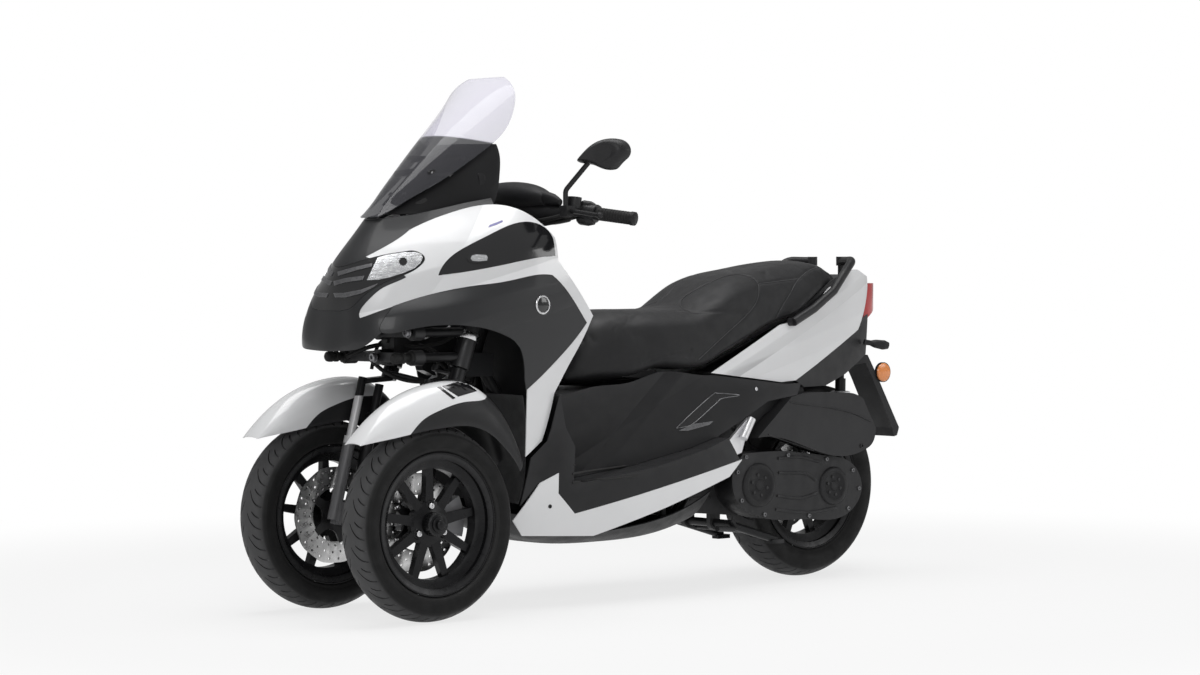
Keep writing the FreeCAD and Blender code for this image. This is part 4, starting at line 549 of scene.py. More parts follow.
def lathe_data(profile, at, axis, count=48):
    """Points and faces of a profile of (radius, height) turned about an axis."""
    axis = Vector(axis).normalized()
    side, other = frame_of(axis)
    points, faces = [], []
    for i in range(count):
        turn = 2 * math.pi * i / count
        way = side * math.cos(turn) + other * math.sin(turn)
        for radius, height in profile:
            points.append(Vector(at) + way * radius + axis * height)
    rows = len(profile)
    for i in range(count):
        j = (i + 1) % count
        for k in range(rows - 1):
            faces.append((i * rows + k, j * rows + k, j * rows + k + 1, i * rows + k + 1))
    return points, faces


def lathe(name, profile, at, axis, look, slot, body, count=48):
    return piece(name, *lathe_data(profile, at, axis, count), look, slot, body)


def bolt_data(at, axis, size, high):
    """A socket head with a chamfered rim, a small recess and a washer."""
    profile = [
        (0, high * 0.55), (size * 0.42, high * 0.55), (size * 0.46, high), (size * 0.84, high),
        (size, high * 0.8), (size, 0), (size * 1.18, 0), (size * 1.2, -high * 0.2),
    ]
    return lathe_data(profile, at, axis, 18)


def bolts(name, places, axis, size, high, look, slot, body):
    return piece(name, *joined([bolt_data(at, axis, size, high) for at in places]), look, slot, body, 30)


def smooth_line(points, steps):
    """Points on a Catmull-Rom curve through the given points."""
    line = []
    ends = [points[0] * 2 - points[1]] + list(points) + [points[-1] * 2 - points[-2]]
    for a, b, c, d in zip(ends, ends[1:], ends[2:], ends[3:]):
        for k in range(steps):
            t = k / steps
            line.append(
                0.5 * ((2 * b) + (c - a) * t + (2 * a - 5 * b + 4 * c - d) * t * t
                       + (3 * b - a - 3 * c + d) * t ** 3)
            )
    return line + [points[-1].copy()]


def tube_data(points, radius, sides=12, steps=8, flat=1.0):
    """A round or flattened bar along a smooth curve, closed at its ends. Radius may be a list."""
    line = smooth_line([Vector(p) for p in points], steps)
    radii = [radius] * len(points) if isinstance(radius, float) else radius
    wide = []
    for a, b in zip(radii, radii[1:]):
        wide += [a + (b - a) * k / steps for k in range(steps)]
    wide.append(radii[-1])
    side = frame_of(line[1] - line[0])[0]
    verts = []
    for i, point in enumerate(line):
        way = (line[min(i + 1, len(line) - 1)] - line[max(i - 1, 0)]).normalized()
        side = (side - way * side.dot(way)).normalized()
        other = way.cross(side)
        for k in range(sides):
            turn = 2 * math.pi * k / sides
            verts.append(point + (side * math.cos(turn) + other * math.sin(turn) * flat) * wide[i])
    return verts, closed_faces(len(line), sides)


def arc_through(a, b, c, count):
    """Points on the circle through three points of a plane, from a by way of b to c."""
    (ax, ay), (bx, by), (cx, cy) = a, b, c
    d = 2 * (ax * (by - cy) + bx * (cy - ay) + cx * (ay - by))
    aa, bb, cc = ax * ax + ay * ay, bx * bx + by * by, cx * cx + cy * cy
    ux = (aa * (by - cy) + bb * (cy - ay) + cc * (ay - by)) / d
    uy = (aa * (cx - bx) + bb * (ax - cx) + cc * (bx - ax)) / d
    radius = math.hypot(ax - ux, ay - uy)
    start, middle, end = [math.atan2(y - uy, x - ux) for x, y in (a, b, c)]
    full = 2 * math.pi
    to_end, to_middle = (end - start) % full, (middle - start) % full
    if to_middle > to_end:
        to_end -= full
    turns = [start + to_end * k / count for k in range(count + 1)]
    return [(ux + radius * math.cos(t), uy + radius * math.sin(t)) for t in turns]


def rounded(corners, radius, steps):
    """A closed outline of (u, v) with its corners rounded."""
    outline = []
    count = len(corners)
    for i in range(count):
        before, corner, after = [Vector(corners[(i + k) % count]) for k in (-1, 0, 1)]
        reach_in = min(radius, (before - corner).length * 0.45)
        reach_out = min(radius, (after - corner).length * 0.45)
        a = corner + (before - corner).normalized() * reach_in
        b = corner + (after - corner).normalized() * reach_out
        for k in range(steps + 1):
            t = k / steps
            outline.append(tuple(a * (1 - t) ** 2 + corner * 2 * t * (1 - t) + b * t * t))
    return outline


# Wheels, in metres

SIPES = 26  # pairs of sipes round a tyre
TREAD_DEPTH = 0.0045
SIPE_SWEEP = 0.24  # how far round a sipe runs from the crown's middle to the shoulder
SIPE_WIDTH = 0.0048
LIP_RADIUS = 0.191
SHOULDER_DROP = 0.17  # how far the shoulder lies below the crown, as a share of the width
SHOULDER_INSET = 0.007
FRONT_WIDTHS = (0.120, 0.094)  # tyre and rim
REAR_WIDTHS = (0.140, 0.112)
FRONT_DISC_Y = 0.050  # from the wheel's middle towards the part's middle
REAR_DISC_Y = -0.0625
DISC_INNER, DISC_OUTER = 0.074, 0.1335
DISC_HALF = 0.0022  # half the disc's thickness
DISC_STEPS = 240
DRILL_RINGS = (0.084, 0.103, 0.122)
DRILL_COUNT = 24
DRILL_RADIUS = 0.0036
ARMS = 5  # arms of a disc's carrier
# Points of an arm's outline: share of the way to the next arm, and radius
ARM_LINE = ((-0.36, 0.044), (-0.20, 0.052), (-0.11, 0.079), (0.11, 0.079), (0.20, 0.052), (0.36, 0.044))
HUB_FACE = 0.049  # from the wheel's middle
# Profiles of (radius, height)
HUB_CAP = [
    (0, 0.016), (0.007, 0.0158), (0.012, 0.014), (0.0135, 0.012), (0.0135, 0.004), (0.0185, 0.0035),
    (0.0205, 0.002), (0.021, -0.002), (0.0255, -0.0024), (0.0275, -0.004), (0.0285, -0.012),
    (0.031, -0.014), (0.032, -0.018),
]
HUB_BOSS = [(0.0, 0.006), (0.012, 0.006), (0.014, 0.004), (0.017, 0.0)]
VALVE = [(0.0, 0.034), (0.0028, 0.034), (0.0036, 0.031), (0.0036, 0.012), (0.005, 0.010), (0.0062, 0.0)]
FRONT_WHEELS = (
    ("left", Vector((FRONT_X, TRACK / 2, FRONT_R)), 1),
    ("right", Vector((FRONT_X, -TRACK / 2, FRONT_R)), -1),
)
REAR_WHEEL = Vector((REAR_X, 0, REAR_R))


def round_wheel(radius, turn, y=0.0):
    return Vector((radius * math.cos(turn), y, radius * math.sin(turn)))


def tyre_profile(radius, width, rim_width):
    """The tyre's outer line of (radius, y) from one bead to the other, as in the CAD model."""
    half = width / 2
    waist = (radius + LIP_RADIUS) / 2 - 0.004
    shoulder = (radius - SHOULDER_DROP * width, half - SHOULDER_INSET)
    foot = (LIP_RADIUS + 0.002, rim_width / 2 - 0.004)
    wall = arc_through(foot, (waist, half), shoulder, 14)
    crown = arc_through(shoulder, (radius, 0), (shoulder[0], -shoulder[1]), 30)
    return wall[:-1] + crown + [(r, -y) for r, y in wall[::-1][1:]]


def sipe_depth(share, number):
    """How deep a sipe is at a share of the way from the crown's middle to its shoulder."""
    start, end = (0.16, 0.94) if number % 2 else (0.44, 0.86)
    if share < start or share > end:
        return 0.0
    return TREAD_DEPTH * min(1.0, (share - start) / 0.06, (end - share) / 0.08)


def wall_ring(share):
    """Raised rings on the side wall, by a share of the way from the rim to the shoulder."""
    rings = ((0.10, 0.05, 0.0012), (0.30, 0.02, 0.0007), (0.86, 0.035, 0.0009))
    return sum(rise * max(0.0, 1 - abs(share - middle) / width) for middle, width, rise in rings)


def sipe_columns(radius):
    """The turn of each column of points round a tyre, whether a sipe cuts it, and the sipe's number."""
    step = math.pi / SIPES
    groove = SIPE_WIDTH / radius
    offsets = [0, groove * 0.25, groove * 0.75, groove]
    offsets += [groove + (step - groove) * k / 4 for k in (1, 2, 3)]
    return [
        (number * step + offset, k in (1, 2), number)
        for number in range(SIPES * 2) for k, offset in enumerate(offsets)
    ]


def make_tyre(label, middle, radius, widths, body):
    width, rim_width = widths
    profile = tyre_profile(radius, width, rim_width)
    low_r = profile[0][0]
    shoulder_r = radius - SHOULDER_DROP * width
    columns = sipe_columns(radius)
    points = []
    for angle, cut, number in columns:
        for r, y in profile:
            share = min(1.0, abs(y) / (width / 2 - SHOULDER_INSET))
            turn = angle - SIPE_SWEEP * (1 - (1 - share) ** 2.2)
            on_crown = r >= shoulder_r - 1e-6
            depth = sipe_depth(share, number + (y <= 0)) if cut and on_crown else 0.0
            lift = 0.0 if on_crown else wall_ring((r - low_r) / (shoulder_r - low_r))
            points.append(middle + round_wheel(r - depth, turn, y + math.copysign(lift, y)))
    rows = len(profile)
    faces = []
    for i in range(len(columns)):
        j = (i + 1) % len(columns)
        for k in range(rows - 1):
            faces.append((i * rows + k, j * rows + k, j * rows + k + 1, i * rows + k + 1))
    tread = piece(label + "_tread", points, faces, "tyre", "tyre_rubber", body, 40)
    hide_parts(label)
    inside = []
    for r, y in profile[::2]:
        reach = max(0.0, (r - low_r) / (radius - low_r))
        inside.append((r - 0.008 * reach - 0.001, y * (1 - 0.15 * reach)))
    lining = lathe(label + "_lining", inside, middle, OUT, "rubber", "tyre_rubber", body, 72)
    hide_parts(label)


def drill_cutter(middle):
    """Short rods where a disc is drilled."""
    depth = DISC_HALF * 4
    profile = [(0, 0), (DRILL_RADIUS, 0), (DRILL_RADIUS, depth), (0, depth)]
    rods = []
    for i in range(DRILL_COUNT):
        for k, ring in enumerate(DRILL_RINGS):
            turn = 2 * math.pi * (i + k / 3) / DRILL_COUNT
            rods.append(lathe_data(profile, middle + round_wheel(ring, turn, -depth / 2), OUT, 12))
    points, faces = joined(rods)
    mesh = bpy.data.meshes.new("drill")
    mesh.from_pydata([tuple(p) for p in points], [], faces)
    tidy = bmesh.new()
    tidy.from_mesh(mesh)
    bmesh.ops.remove_doubles(tidy, verts=tidy.verts, dist=MERGE)
    bmesh.ops.recalc_face_normals(tidy, faces=tidy.faces)
    tidy.to_mesh(mesh)
    tidy.free()
    return add_object("drill", mesh)


def drilled_disc(name, middle, body):
    """A brake disc with a wavy rim and three rings of drilled holes."""
    radii = (DISC_INNER, DISC_INNER + 0.004, DISC_OUTER - 0.003, DISC_OUTER)
    loops = [(side, k) for side, order in ((-1, (0, 1, 2, 3)), (1, (3, 2, 1, 0))) for k in order]
    points = []
    for side, k in loops:
        edge = 0.0006 if k in (0, 3) else 0.0
        for i in range(DISC_STEPS):
            turn = 2 * math.pi * i / DISC_STEPS
            wave = 0.0012 * math.cos(turn * 10) if k >= 2 else 0.0
            points.append(middle + round_wheel(radii[k] + wave, turn, side * (DISC_HALF - edge)))
    faces = band_faces(len(loops) + 1, DISC_STEPS)
    faces = [tuple(k % len(points) for k in face) for face in faces]
    band = piece(name, points, faces, "disc_steel", "disc_steel", body, 30)
    cutter = drill_cutter(middle)
    cut = band.modifiers.new("holes", "BOOLEAN")
    cut.object = cutter
    cut.solver = "EXACT"
    bpy.context.view_layer.update()
    baked(band)
    bpy.data.objects.remove(cutter)
    return band


def baked(obj):
    """Replaces the object's mesh by what its modifiers give."""
    shown = obj.evaluated_get(bpy.context.evaluated_depsgraph_get())
    mesh = bpy.data.meshes.new_from_object(shown)
    obj.modifiers.clear()
    obj.data = mesh


def carrier(name, middle, side, body):
    """The black star that holds the disc's band on the hub, with five arms and buttons."""
    turns = [2 * math.pi * (k + 0.5) / ARMS for k in range(ARMS)]
    outline = []
    for turn in turns:
        outline += [(r, turn + 2 * math.pi * share / ARMS) for share, r in ARM_LINE]
    shrink = 1 - 0.0012 / max(outline)[0]
    points = []
    for scale, lift in ((1, -0.003), (1, 0.0018), (shrink, 0.003)):
        points += [middle + round_wheel(r * scale, turn, side * lift) for r, turn in outline]
    plate = piece(name, points, closed_faces(3, len(outline)), "black_metal", "black_metal", body, 30)
    places = [middle + round_wheel(0.074, turn, side * 0.0026) for turn in turns]
    bolts(name + "_buttons", places, OUT * side, 0.006, 0.003, "steel", "disc_steel", body)
    return plate


def hub_face(name, middle, side, body):
    """Hub cap with a domed nut, and three silver bolts on raised bosses."""
    way = OUT * side
    lathe(name + "_cap", HUB_CAP, middle + way * HUB_FACE, way, "wheel_black", "black_metal", body, 40)
    feet = [middle + round_wheel(0.048, math.radians(90 + 120 * k), side * 0.008) for k in range(3)]
    bosses = [lathe_data(HUB_BOSS, foot, way, 28) for foot in feet]
    piece(name + "_bosses", *joined(bosses), "wheel_black", "black_metal", body)
    heads = [foot + way * 0.006 for foot in feet]
    bolts(name + "_bolts", heads, way, 0.0085, 0.007, "steel", "disc_steel", body)


def rim_lips(name, middle, half, body):
    """A rolled lip on each edge of a rim, and the valve."""
    turns = [math.pi * k / 12 for k in range(13)]
    ring = [(LIP_RADIUS - 0.0015 + 0.0025 * math.cos(t), 0.0022 * math.sin(t) - 0.0004) for t in turns]
    lips = [lathe_data(ring, middle + OUT * side * half, OUT * side, 128) for side in (-1, 1)]
    piece(name, *joined(lips), "wheel_black", "black_metal", body)
    foot = middle + Vector((0.112, half * 0.1, 0.112))
    way = Vector((-0.7, 0.15, -0.7))
    lathe(name + "_valve", VALVE, foot, way, "rubber", "tyre_rubber", body, 16)


def make_disc(label, node, middle, side, body):
    for made in (
        drilled_disc("brake_disc_" + label, middle, body),
        carrier("disc_carrier_" + label, middle, side, body),
    ):
        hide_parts(node)


def make_wheels():
    for label, middle, side in FRONT_WHEELS:
        body = "wheel_front_" + label
        make_tyre("tyre_front_" + label, middle, FRONT_R, FRONT_WIDTHS, body)
        rim_lips("rim_lips_" + label, middle, FRONT_WIDTHS[1] / 2, body)
        hub_face("hub_" + label, middle, side, body)
        make_disc(label, "disc_front_" + label, middle - OUT * side * FRONT_DISC_Y, side, body)
    make_tyre("tyre_rear", REAR_WHEEL, REAR_R, REAR_WIDTHS, "wheel_rear")
    rim_lips("rim_lips_rear", REAR_WHEEL, REAR_WIDTHS[1] / 2, "wheel_rear")
    make_disc("rear", "disc_rear", REAR_WHEEL + OUT * REAR_DISC_Y, -1, "wheel_rear")


make_wheels()


# Outlines and marks, each a list of points of the photograph, 1200 by 675

LENS = [
    (366.9, 280.2), (373.6, 265.9), (377.7, 257.6), (386.9, 254.8), (403.6, 252.4), (414.7, 252.0),
    (421.1, 253.9), (422.8, 257.6), (420.6, 262.8), (414.7, 268.3), (403.6, 272.9), (388.8, 277.6),
    (377.7, 279.8),
]
LENS_EYE = [
    (398.9, 261.7), (400.2, 258.7), (403.2, 257.6), (406.1, 258.9), (407.3, 261.7), (406.0, 264.4),
    (403.0, 265.7), (400.2, 264.4),
]
FIN_HIGH = [
    (338.1, 272.0), (355.5, 267.2), (372.5, 263.5), (371.7, 266.8), (355.5, 270.9), (338.5, 276.1),
]
FIN_MIDDLE = [
    (334.0, 281.3), (346.2, 278.3), (364.7, 276.1), (362.9, 280.2), (346.2, 282.4), (334.8, 285.7),
]
FIN_LOW = [
    (334.0, 293.1), (344.4, 293.1), (361.0, 290.1), (377.7, 283.9), (374.0, 287.2), (361.0, 293.8),
    (346.2, 297.5), (335.5, 297.5),
]
POSITION_POD = [
    (466.4, 258.3), (468.6, 254.6), (474.8, 253.2), (484.9, 253.5), (488.6, 256.5), (488.3, 260.9),
    (484.9, 262.8), (475.7, 263.5), (468.6, 262.0),
]
POSITION_LENS = [
    (470.1, 259.1), (471.4, 256.1), (475.3, 255.0), (485.7, 255.6), (487.0, 257.8), (486.4, 261.1),
    (477.5, 261.8), (472.0, 261.3),
]
BRACKET = [
    (395.0, 206.2), (396.2, 202.5), (418.3, 178.4), (430.4, 168.5), (446.1, 159.2), (464.6, 155.9),
    (463.8, 162.9), (458.7, 168.1), (429.4, 188.8), (403.6, 204.0),
]
SCREW_SCREEN = (404.9, 196.2)
NOSE_VENT = [
    (415.0, 203.6), (418.7, 199.9), (425.7, 198.1), (427.6, 200.3), (423.5, 203.6), (418.3, 204.7),
]
FENDER_PANEL = [
    (442.0, 386.3), (462.7, 380.4), (477.2, 391.1), (458.3, 396.7),
]
FENDER_STRIPE = [
    (437.2, 387.2), (440.2, 386.5), (455.7, 398.1), (452.7, 399.2),
]
BADGE = (542.6, 304.8)
SLOT = [
    (675.9, 428.2), (693.5, 411.4), (712.4, 394.7), (718.6, 393.3), (739.2, 395.3), (722.0, 398.4),
    (715.9, 403.3), (693.5, 423.3), (683.9, 426.9),
]
SLOT_LIP = [
    (678.0, 430.6), (694.3, 423.7), (713.1, 421.0), (709.0, 424.7), (687.3, 430.8),
]
TUNNEL_SCREW = (756.3, 389.0)
REFLECTOR = (884.5, 372.2)
BOX_EDGE = [
    (790.0, 402.0), (803.3, 404.3), (827.8, 407.3), (852.2, 413.1), (870.6, 421.6),
]
BOX_RIB_A = [
    (768.2, 434.7), (791.0, 442.4), (813.9, 450.6),
]
BOX_RIB_B = [
    (760.4, 439.2), (784.9, 448.2), (808.6, 456.3),
]
BOX_BOLT = (861.4, 445.7)
SEAM_BACK = [
    (693.5, 364.5), (721.6, 338.0), (746.1, 315.5), (756.7, 301.2), (758.8, 288.6), (755.5, 280.4),
    (746.1, 275.5), (735.9, 274.3),
]
SEAM_OVAL = [
    (735.9, 274.3), (721.6, 277.3), (705.3, 284.5), (689.0, 293.7), (680.8, 300.8), (681.8, 307.3),
    (691.0, 311.8),
]
SEAM_FRONT = [
    (662.4, 310.6), (691.0, 312.2), (721.6, 311.4), (747.1, 311.4),
]
SEAM_TOP = [
    (758.8, 283.7), (778.8, 281.2), (797.1, 278.8),
]
SEAM_REAR = [
    (773.7, 323.3), (780.8, 309.0), (790.0, 293.7), (797.6, 280.4), (809.4, 270.2), (823.7, 266.1),
]
SEAM_LOW = [
    (644.1, 364.1), (664.5, 355.9), (691.0, 349.8),
]
FLOOR_SCREW = (550.0, 506.4)
MAT_A = [
    (573.6, 465.2), (590.5, 461.3), (614.4, 456.5), (638.2, 453.1),
]
MAT_B = [
    (572.3, 473.9), (590.5, 470.9), (614.4, 467.4), (638.2, 464.4),
]
MAT_C = [
    (572.3, 482.6), (590.5, 480.4), (614.4, 478.2), (638.2, 476.1),
]
HOSE_A = [
    (346.6, 356.8), (371.6, 346.4), (404.1, 342.9), (430.1, 349.4), (451.8, 365.0),
]
HOSE_B = [
    (371.6, 369.0), (374.8, 354.2), (380.7, 342.5), (395.4, 336.9),
]
HOSE_C = [
    (386.7, 340.8), (412.7, 346.4), (438.8, 343.4), (452.9, 336.4),
]
HOSE_D = [
    (365.0, 354.2), (384.6, 371.6), (408.4, 380.7), (434.4, 380.2), (449.6, 369.8),
]
HOSE_E = [
    (412.7, 351.0), (425.8, 354.2), (438.8, 362.9), (451.8, 374.8),
]
STAY_ROD = [
    (424.0, 338.6), (450.0, 326.9),
]
INNER_BOX = [
    (453.5, 356.8), (467.4, 352.0), (493.6, 353.8), (492.5, 376.3), (467.4, 376.8), (457.0, 371.6),
]
HEAD_RING = (468.0, 336.4)
TAIL_FILL = [
    (711.4, 440.0), (720.0, 423.3), (746.1, 404.9), (762.4, 374.3), (801.2, 376.7), (804.5, 394.7),
    (780.8, 403.3), (764.5, 414.3), (754.3, 425.3), (746.5, 431.8), (731.0, 435.5), (725.7, 446.5),
]
SEAT_FILL = [
    (621.6, 369.0), (655.9, 370.4), (658.8, 378.8), (621.6, 376.7),
]
RAIL_BASE = [
    (790.0, 314.7), (810.4, 300.4), (832.2, 280.0), (839.6, 275.5), (841.6, 282.4), (832.7, 296.3),
    (817.6, 316.1), (797.1, 325.3), (785.9, 323.3),
]
BLUE_DASH = [
    (488.1, 227.6), (489.7, 224.9), (502.3, 220.1), (503.0, 221.9), (496.4, 225.0),
]
WINKER_ROOT = (864.1, 342.0)
WINKER_END = (888.2, 345.7)


# Pieces laid on the CAD surfaces where the photograph shows them

PANEL_STEP = 1.6  # photo pixels between the points of a laid panel
NO_HIT = (None, None)


def sight(px, py):
    """The direction from the camera through a point of the photograph."""
    x = ((px / PHOTO_WIDE - 0.5) + SHIFT_X) * SENSOR / FOCAL
    y = ((0.5 - py / PHOTO_HIGH) * PHOTO_HIGH / PHOTO_WIDE + SHIFT_Y) * SENSOR / FOCAL
    return (bpy.context.scene.camera.matrix_world.to_3x3() @ Vector((x, y, -1))).normalized()


def at_depth(mark, y):
    """The point that a mark of the photograph shows, on the upright plane at y."""
    way = sight(*mark)
    start = Vector(CAMERA_AT)
    return start + way * ((y - start.y) / way.y)


def tree_of(*objects):
    points, faces = [], []
    for obj in objects:
        first = len(points)
        points += [obj.matrix_world @ v.co for v in obj.data.vertices]
        faces += [tuple(first + k for k in poly.vertices) for poly in obj.data.polygons]
    return BVHTree.FromPolygons(points, faces)


def seen(tree, mark):
    """The place and normal of the surface at a mark of the photograph."""
    way = sight(*mark)
    place, normal = tree.ray_cast(Vector(CAMERA_AT), way)[:2]
    if place is None:
        return NO_HIT
    return place, -normal if normal.dot(way) > 0 else normal


def filled(outline, step):
    """Marks and triangles that fill an outline evenly."""
    border = []
    for (ax, ay), (bx, by) in zip(outline, outline[1:] + outline[:1]):
        parts = max(1, round(math.hypot(bx - ax, by - ay) / step))
        border += [(ax + (bx - ax) * k / parts, ay + (by - ay) * k / parts) for k in range(parts)]
    marks = [Vector(p) for p in border]
    low_x, high_x = min(p[0] for p in border), max(p[0] for p in border)
    low_y, high_y = min(p[1] for p in border), max(p[1] for p in border)
    for i in range(int((high_x - low_x) / step)):
        for j in range(int((high_y - low_y) / step)):
            mark = Vector((low_x + (i + 0.5 + 0.3 * (j % 2)) * step, low_y + (j + 0.5) * step))
            if min((mark - Vector(p)).length for p in border) > step * 0.45:
                marks.append(mark)
    shape = delaunay_2d_cdt(marks, [], [list(range(len(border)))], 1, 1e-4)
    return shape[0], shape[2]


def skin_data(outline, tree, lift, rim, step=PANEL_STEP):
    """A thin panel over a surface, with its edge turned down."""
    marks, faces = filled(outline, step)
    hits = [seen(tree, mark) for mark in marks]
    faces = [tuple(face) for face in faces if all(hits[k][0] is not None for k in face)]
    points = [Vector() if place is None else place + normal * lift for place, normal in hits]
    sides = {(a, b) for face in faces for a, b in zip(face, face[1:] + face[:1])}
    feet = {}
    for a, b in sorted(sides):
        if (b, a) in sides:
            continue
        for k in (a, b):
            if k not in feet:
                feet[k] = len(points)
                points.append(hits[k][0] - hits[k][1] * rim)
        faces.append((b, a, feet[a], feet[b]))
    kept = sorted({k for face in faces for k in face})
    number = {k: i for i, k in enumerate(kept)}
    return [points[k] for k in kept], [tuple(number[k] for k in face) for face in faces]


def skin(name, outline, tree, look, slot, lift=0.0008, rim=0.0012):
    """A pair of laid panels on the chassis, one on each side."""
    on_both_sides(name, [skin_data(outline, tree, lift, rim)], look, slot, "chassis", 40)


def ridge_data(marks, tree, radius, lift=0.0, steps=6):
    """A fine round bead that follows a surface through marks of the photograph."""
    points = []
    for mark in smooth_line([Vector((x, y, 0)) for x, y in marks], steps):
        place, normal = seen(tree, mark.xy)
        if place is not None:
            points.append(place + normal * lift)
    return tube_data(points, radius, 6, 1)


def ridges(name, lines, tree, radius, look, lift=0.0, both=True):
    data = joined([ridge_data(marks, tree, radius, lift) for marks in lines])
    if both:
        data = two_sided(*data)
    piece(name, *data, look, "black_plastic", "chassis", 60)


def stud(name, mark, tree, profile, look, slot, both=True, count=20):
    """A turned piece that stands on a surface at a mark of the photograph."""
    data = lathe_data(profile, *seen(tree, mark), count)
    if both:
        data = two_sided(*data)
    piece(name, *data, look, slot, "chassis")


def screw_profile(radius, high):
    return [
        (0, high * 0.4), (radius * 0.45, high * 0.4), (radius * 0.5, high), (radius * 0.8, high),
        (radius, high * 0.55), (radius, -high * 0.3), (radius * 1.25, -high * 0.35), (radius * 1.3, -high),
    ]


# Lamps, badge, fender panels and screen brackets

# Name, outline, look, slot, lift and rim in metres, grouped by the node that carries them
FRONT_SKINS = {
    "headlight": [
        ("lamp_reflectors", LENS, "silver_lens", "lamp_glass", 0.0007, 0.0012),
        ("lamp_eyes", LENS_EYE, "smoked", "lamp_glass", 0.0022, 0.001),
    ],
    "intake_panels": [
        ("position_pods", POSITION_POD, "smoked", "lamp_glass", 0.002, 0.0012),
        ("position_lenses", POSITION_LENS, "silver_lens", "lamp_glass", 0.0045, 0.001),
    ],
    "dash_cowl": [
        ("screen_brackets", BRACKET, "gloss_black", "gloss_black", 0.007, 0.004),
        ("dash_vents", NOSE_VENT, "smoked", "gloss_black", 0.0012, 0.001),
    ],
    "side_cowls": [("blue_dashes", BLUE_DASH, "blue", "gloss_black", 0.0004, 0.0008)],
}
# Profiles of (radius, height)
BADGE_RIM = [(0.0205, 0.0004), (0.0215, 0.0034), (0.0245, 0.0034), (0.0262, 0.0022), (0.0264, -0.002)]
BADGE_FACE = [(0, 0.0026), (0.010, 0.0024), (0.017, 0.0016), (0.0212, 0.0008), (0.0214, -0.002)]
BRACKET_SCREW = [
    (0, 0.0115), (0.0028, 0.0115), (0.0032, 0.013), (0.005, 0.013), (0.0066, 0.011), (0.0066, 0.004),
]


def make_front():
    for node, rows in FRONT_SKINS.items():
        tree = tree_of(NODES[node])
        for name, outline, look, slot, lift, rim in rows:
            skin(name, outline, tree, look, slot, lift, rim)
    lamp = tree_of(NODES["headlight"])
    fins = [skin_data(line, lamp, 0.0024, 0.001, 1.4) for line in (FIN_HIGH, FIN_MIDDLE, FIN_LOW)]
    on_both_sides("lamp_fins", fins, "lamp_fin", "lamp_glass", "chassis", 40)
    side = tree_of(NODES["side_panels"])
    stud("badge_rims", BADGE, side, BADGE_RIM, "steel", "gloss_black", count=48)
    stud("badge_faces", BADGE, side, BADGE_FACE, "gloss_black", "gloss_black", count=48)
    dash = tree_of(NODES["dash_cowl"])
    stud("bracket_screws", SCREW_SCREEN, dash, BRACKET_SCREW, "steel", "gloss_black")
    cover = tree_of(NODES["under_covers"])
    stud("cover_screws", FLOOR_SCREW, cover, screw_profile(0.0056, 0.002), "black_metal", "gloss_black")


def make_fender_marks():
    """The dark panel and stripe on each front fender."""
    fender = tree_of(NODES["fender_left"])
    for names, outline in (
        (("fender_panels", "fender_panel_right"), FENDER_PANEL),
        (("fender_stripes", "fender_stripe_right"), FENDER_STRIPE),
    ):
        left = skin_data(outline, fender, 0.0006, 0.0012)
        for name, data, body in zip(names, (left, mirrored(*left)), ("fork_left", "fork_right")):
            piece(name, *data, "gloss_black", "gloss_black", body, 40)


make_front()
make_fender_marks()


# Cockpit: instrument, dash wall, grips, switches, covers and mirror glass


def slab(name, center, axis, outline, rings, look, slot):
    """A lofted plate that faces along an axis: each ring is a (scale, lift) of the (side, rise) outline."""
    rise = axis.cross(OUT).normalized()
    if rise.z < 0:
        rise = -rise
    points = []
    for scale, lift in rings:
        points += [center + OUT * u * scale + rise * v * scale + axis * lift for u, v in outline]
    piece(name, points, closed_faces(len(rings), len(outline)), look, slot, "chassis")


# Outlines of (side, rise), and rings of (scale, lift)
INSTRUMENT_FACE = [(-0.092, -0.036), (0.092, -0.036), (0.080, 0.040), (-0.080, 0.040)]
INSTRUMENT_RINGS = [(0.8, -0.075), (1.0, -0.02), (1.06, 0.010), (1.0, 0.014)]
GLASS_RINGS = [(0.92, 0.012), (0.92, 0.0152), (0.9, 0.0165)]
WALL_FACE = [
    (-0.108, -0.075), (0.108, -0.075), (0.112, 0.03), (0.085, 0.052), (-0.085, 0.052), (-0.112, 0.03),
]
WALL_RINGS = [(0.97, -0.02), (1.0, -0.006), (1.0, 0.0), (0.98, 0.004)]
# Profiles of (radius, height)
GRIP_RING = [(0.0168, -0.003), (0.0180, -0.002), (0.0180, 0.002), (0.0168, 0.003)]
BAR_WEIGHT = [(0, -0.004), (0.010, -0.004), (0.0155, -0.001), (0.0192, 0.003), (0.0192, 0.011)]
BUTTON = [(0, 0.005), (0.004, 0.005), (0.0052, 0.0035), (0.0056, -0.004)]
BUTTON_PLACES = ((0.009, -0.008), (-0.006, 0.004), (0.006, 0.012))  # above and along the housing's middle


def make_cockpit():
    face = rounded(INSTRUMENT_FACE, 0.022, 6)
    axis = Vector((-0.86, 0, 0.5)).normalized()
    center = rear(1292, 0, 1206)
    slab("instrument_case", center, axis, face, INSTRUMENT_RINGS, "grain_black", "black_plastic")
    slab("instrument_glass", center, axis, face, GLASS_RINGS, "display", "lamp_glass")
    wall_axis = Vector((-1, 0, 0.16)).normalized()
    wall = rounded(WALL_FACE, 0.02, 5)
    slab("cockpit_wall", rear(1290, 0, 1172), wall_axis, wall, WALL_RINGS, "grain_black", "black_plastic")


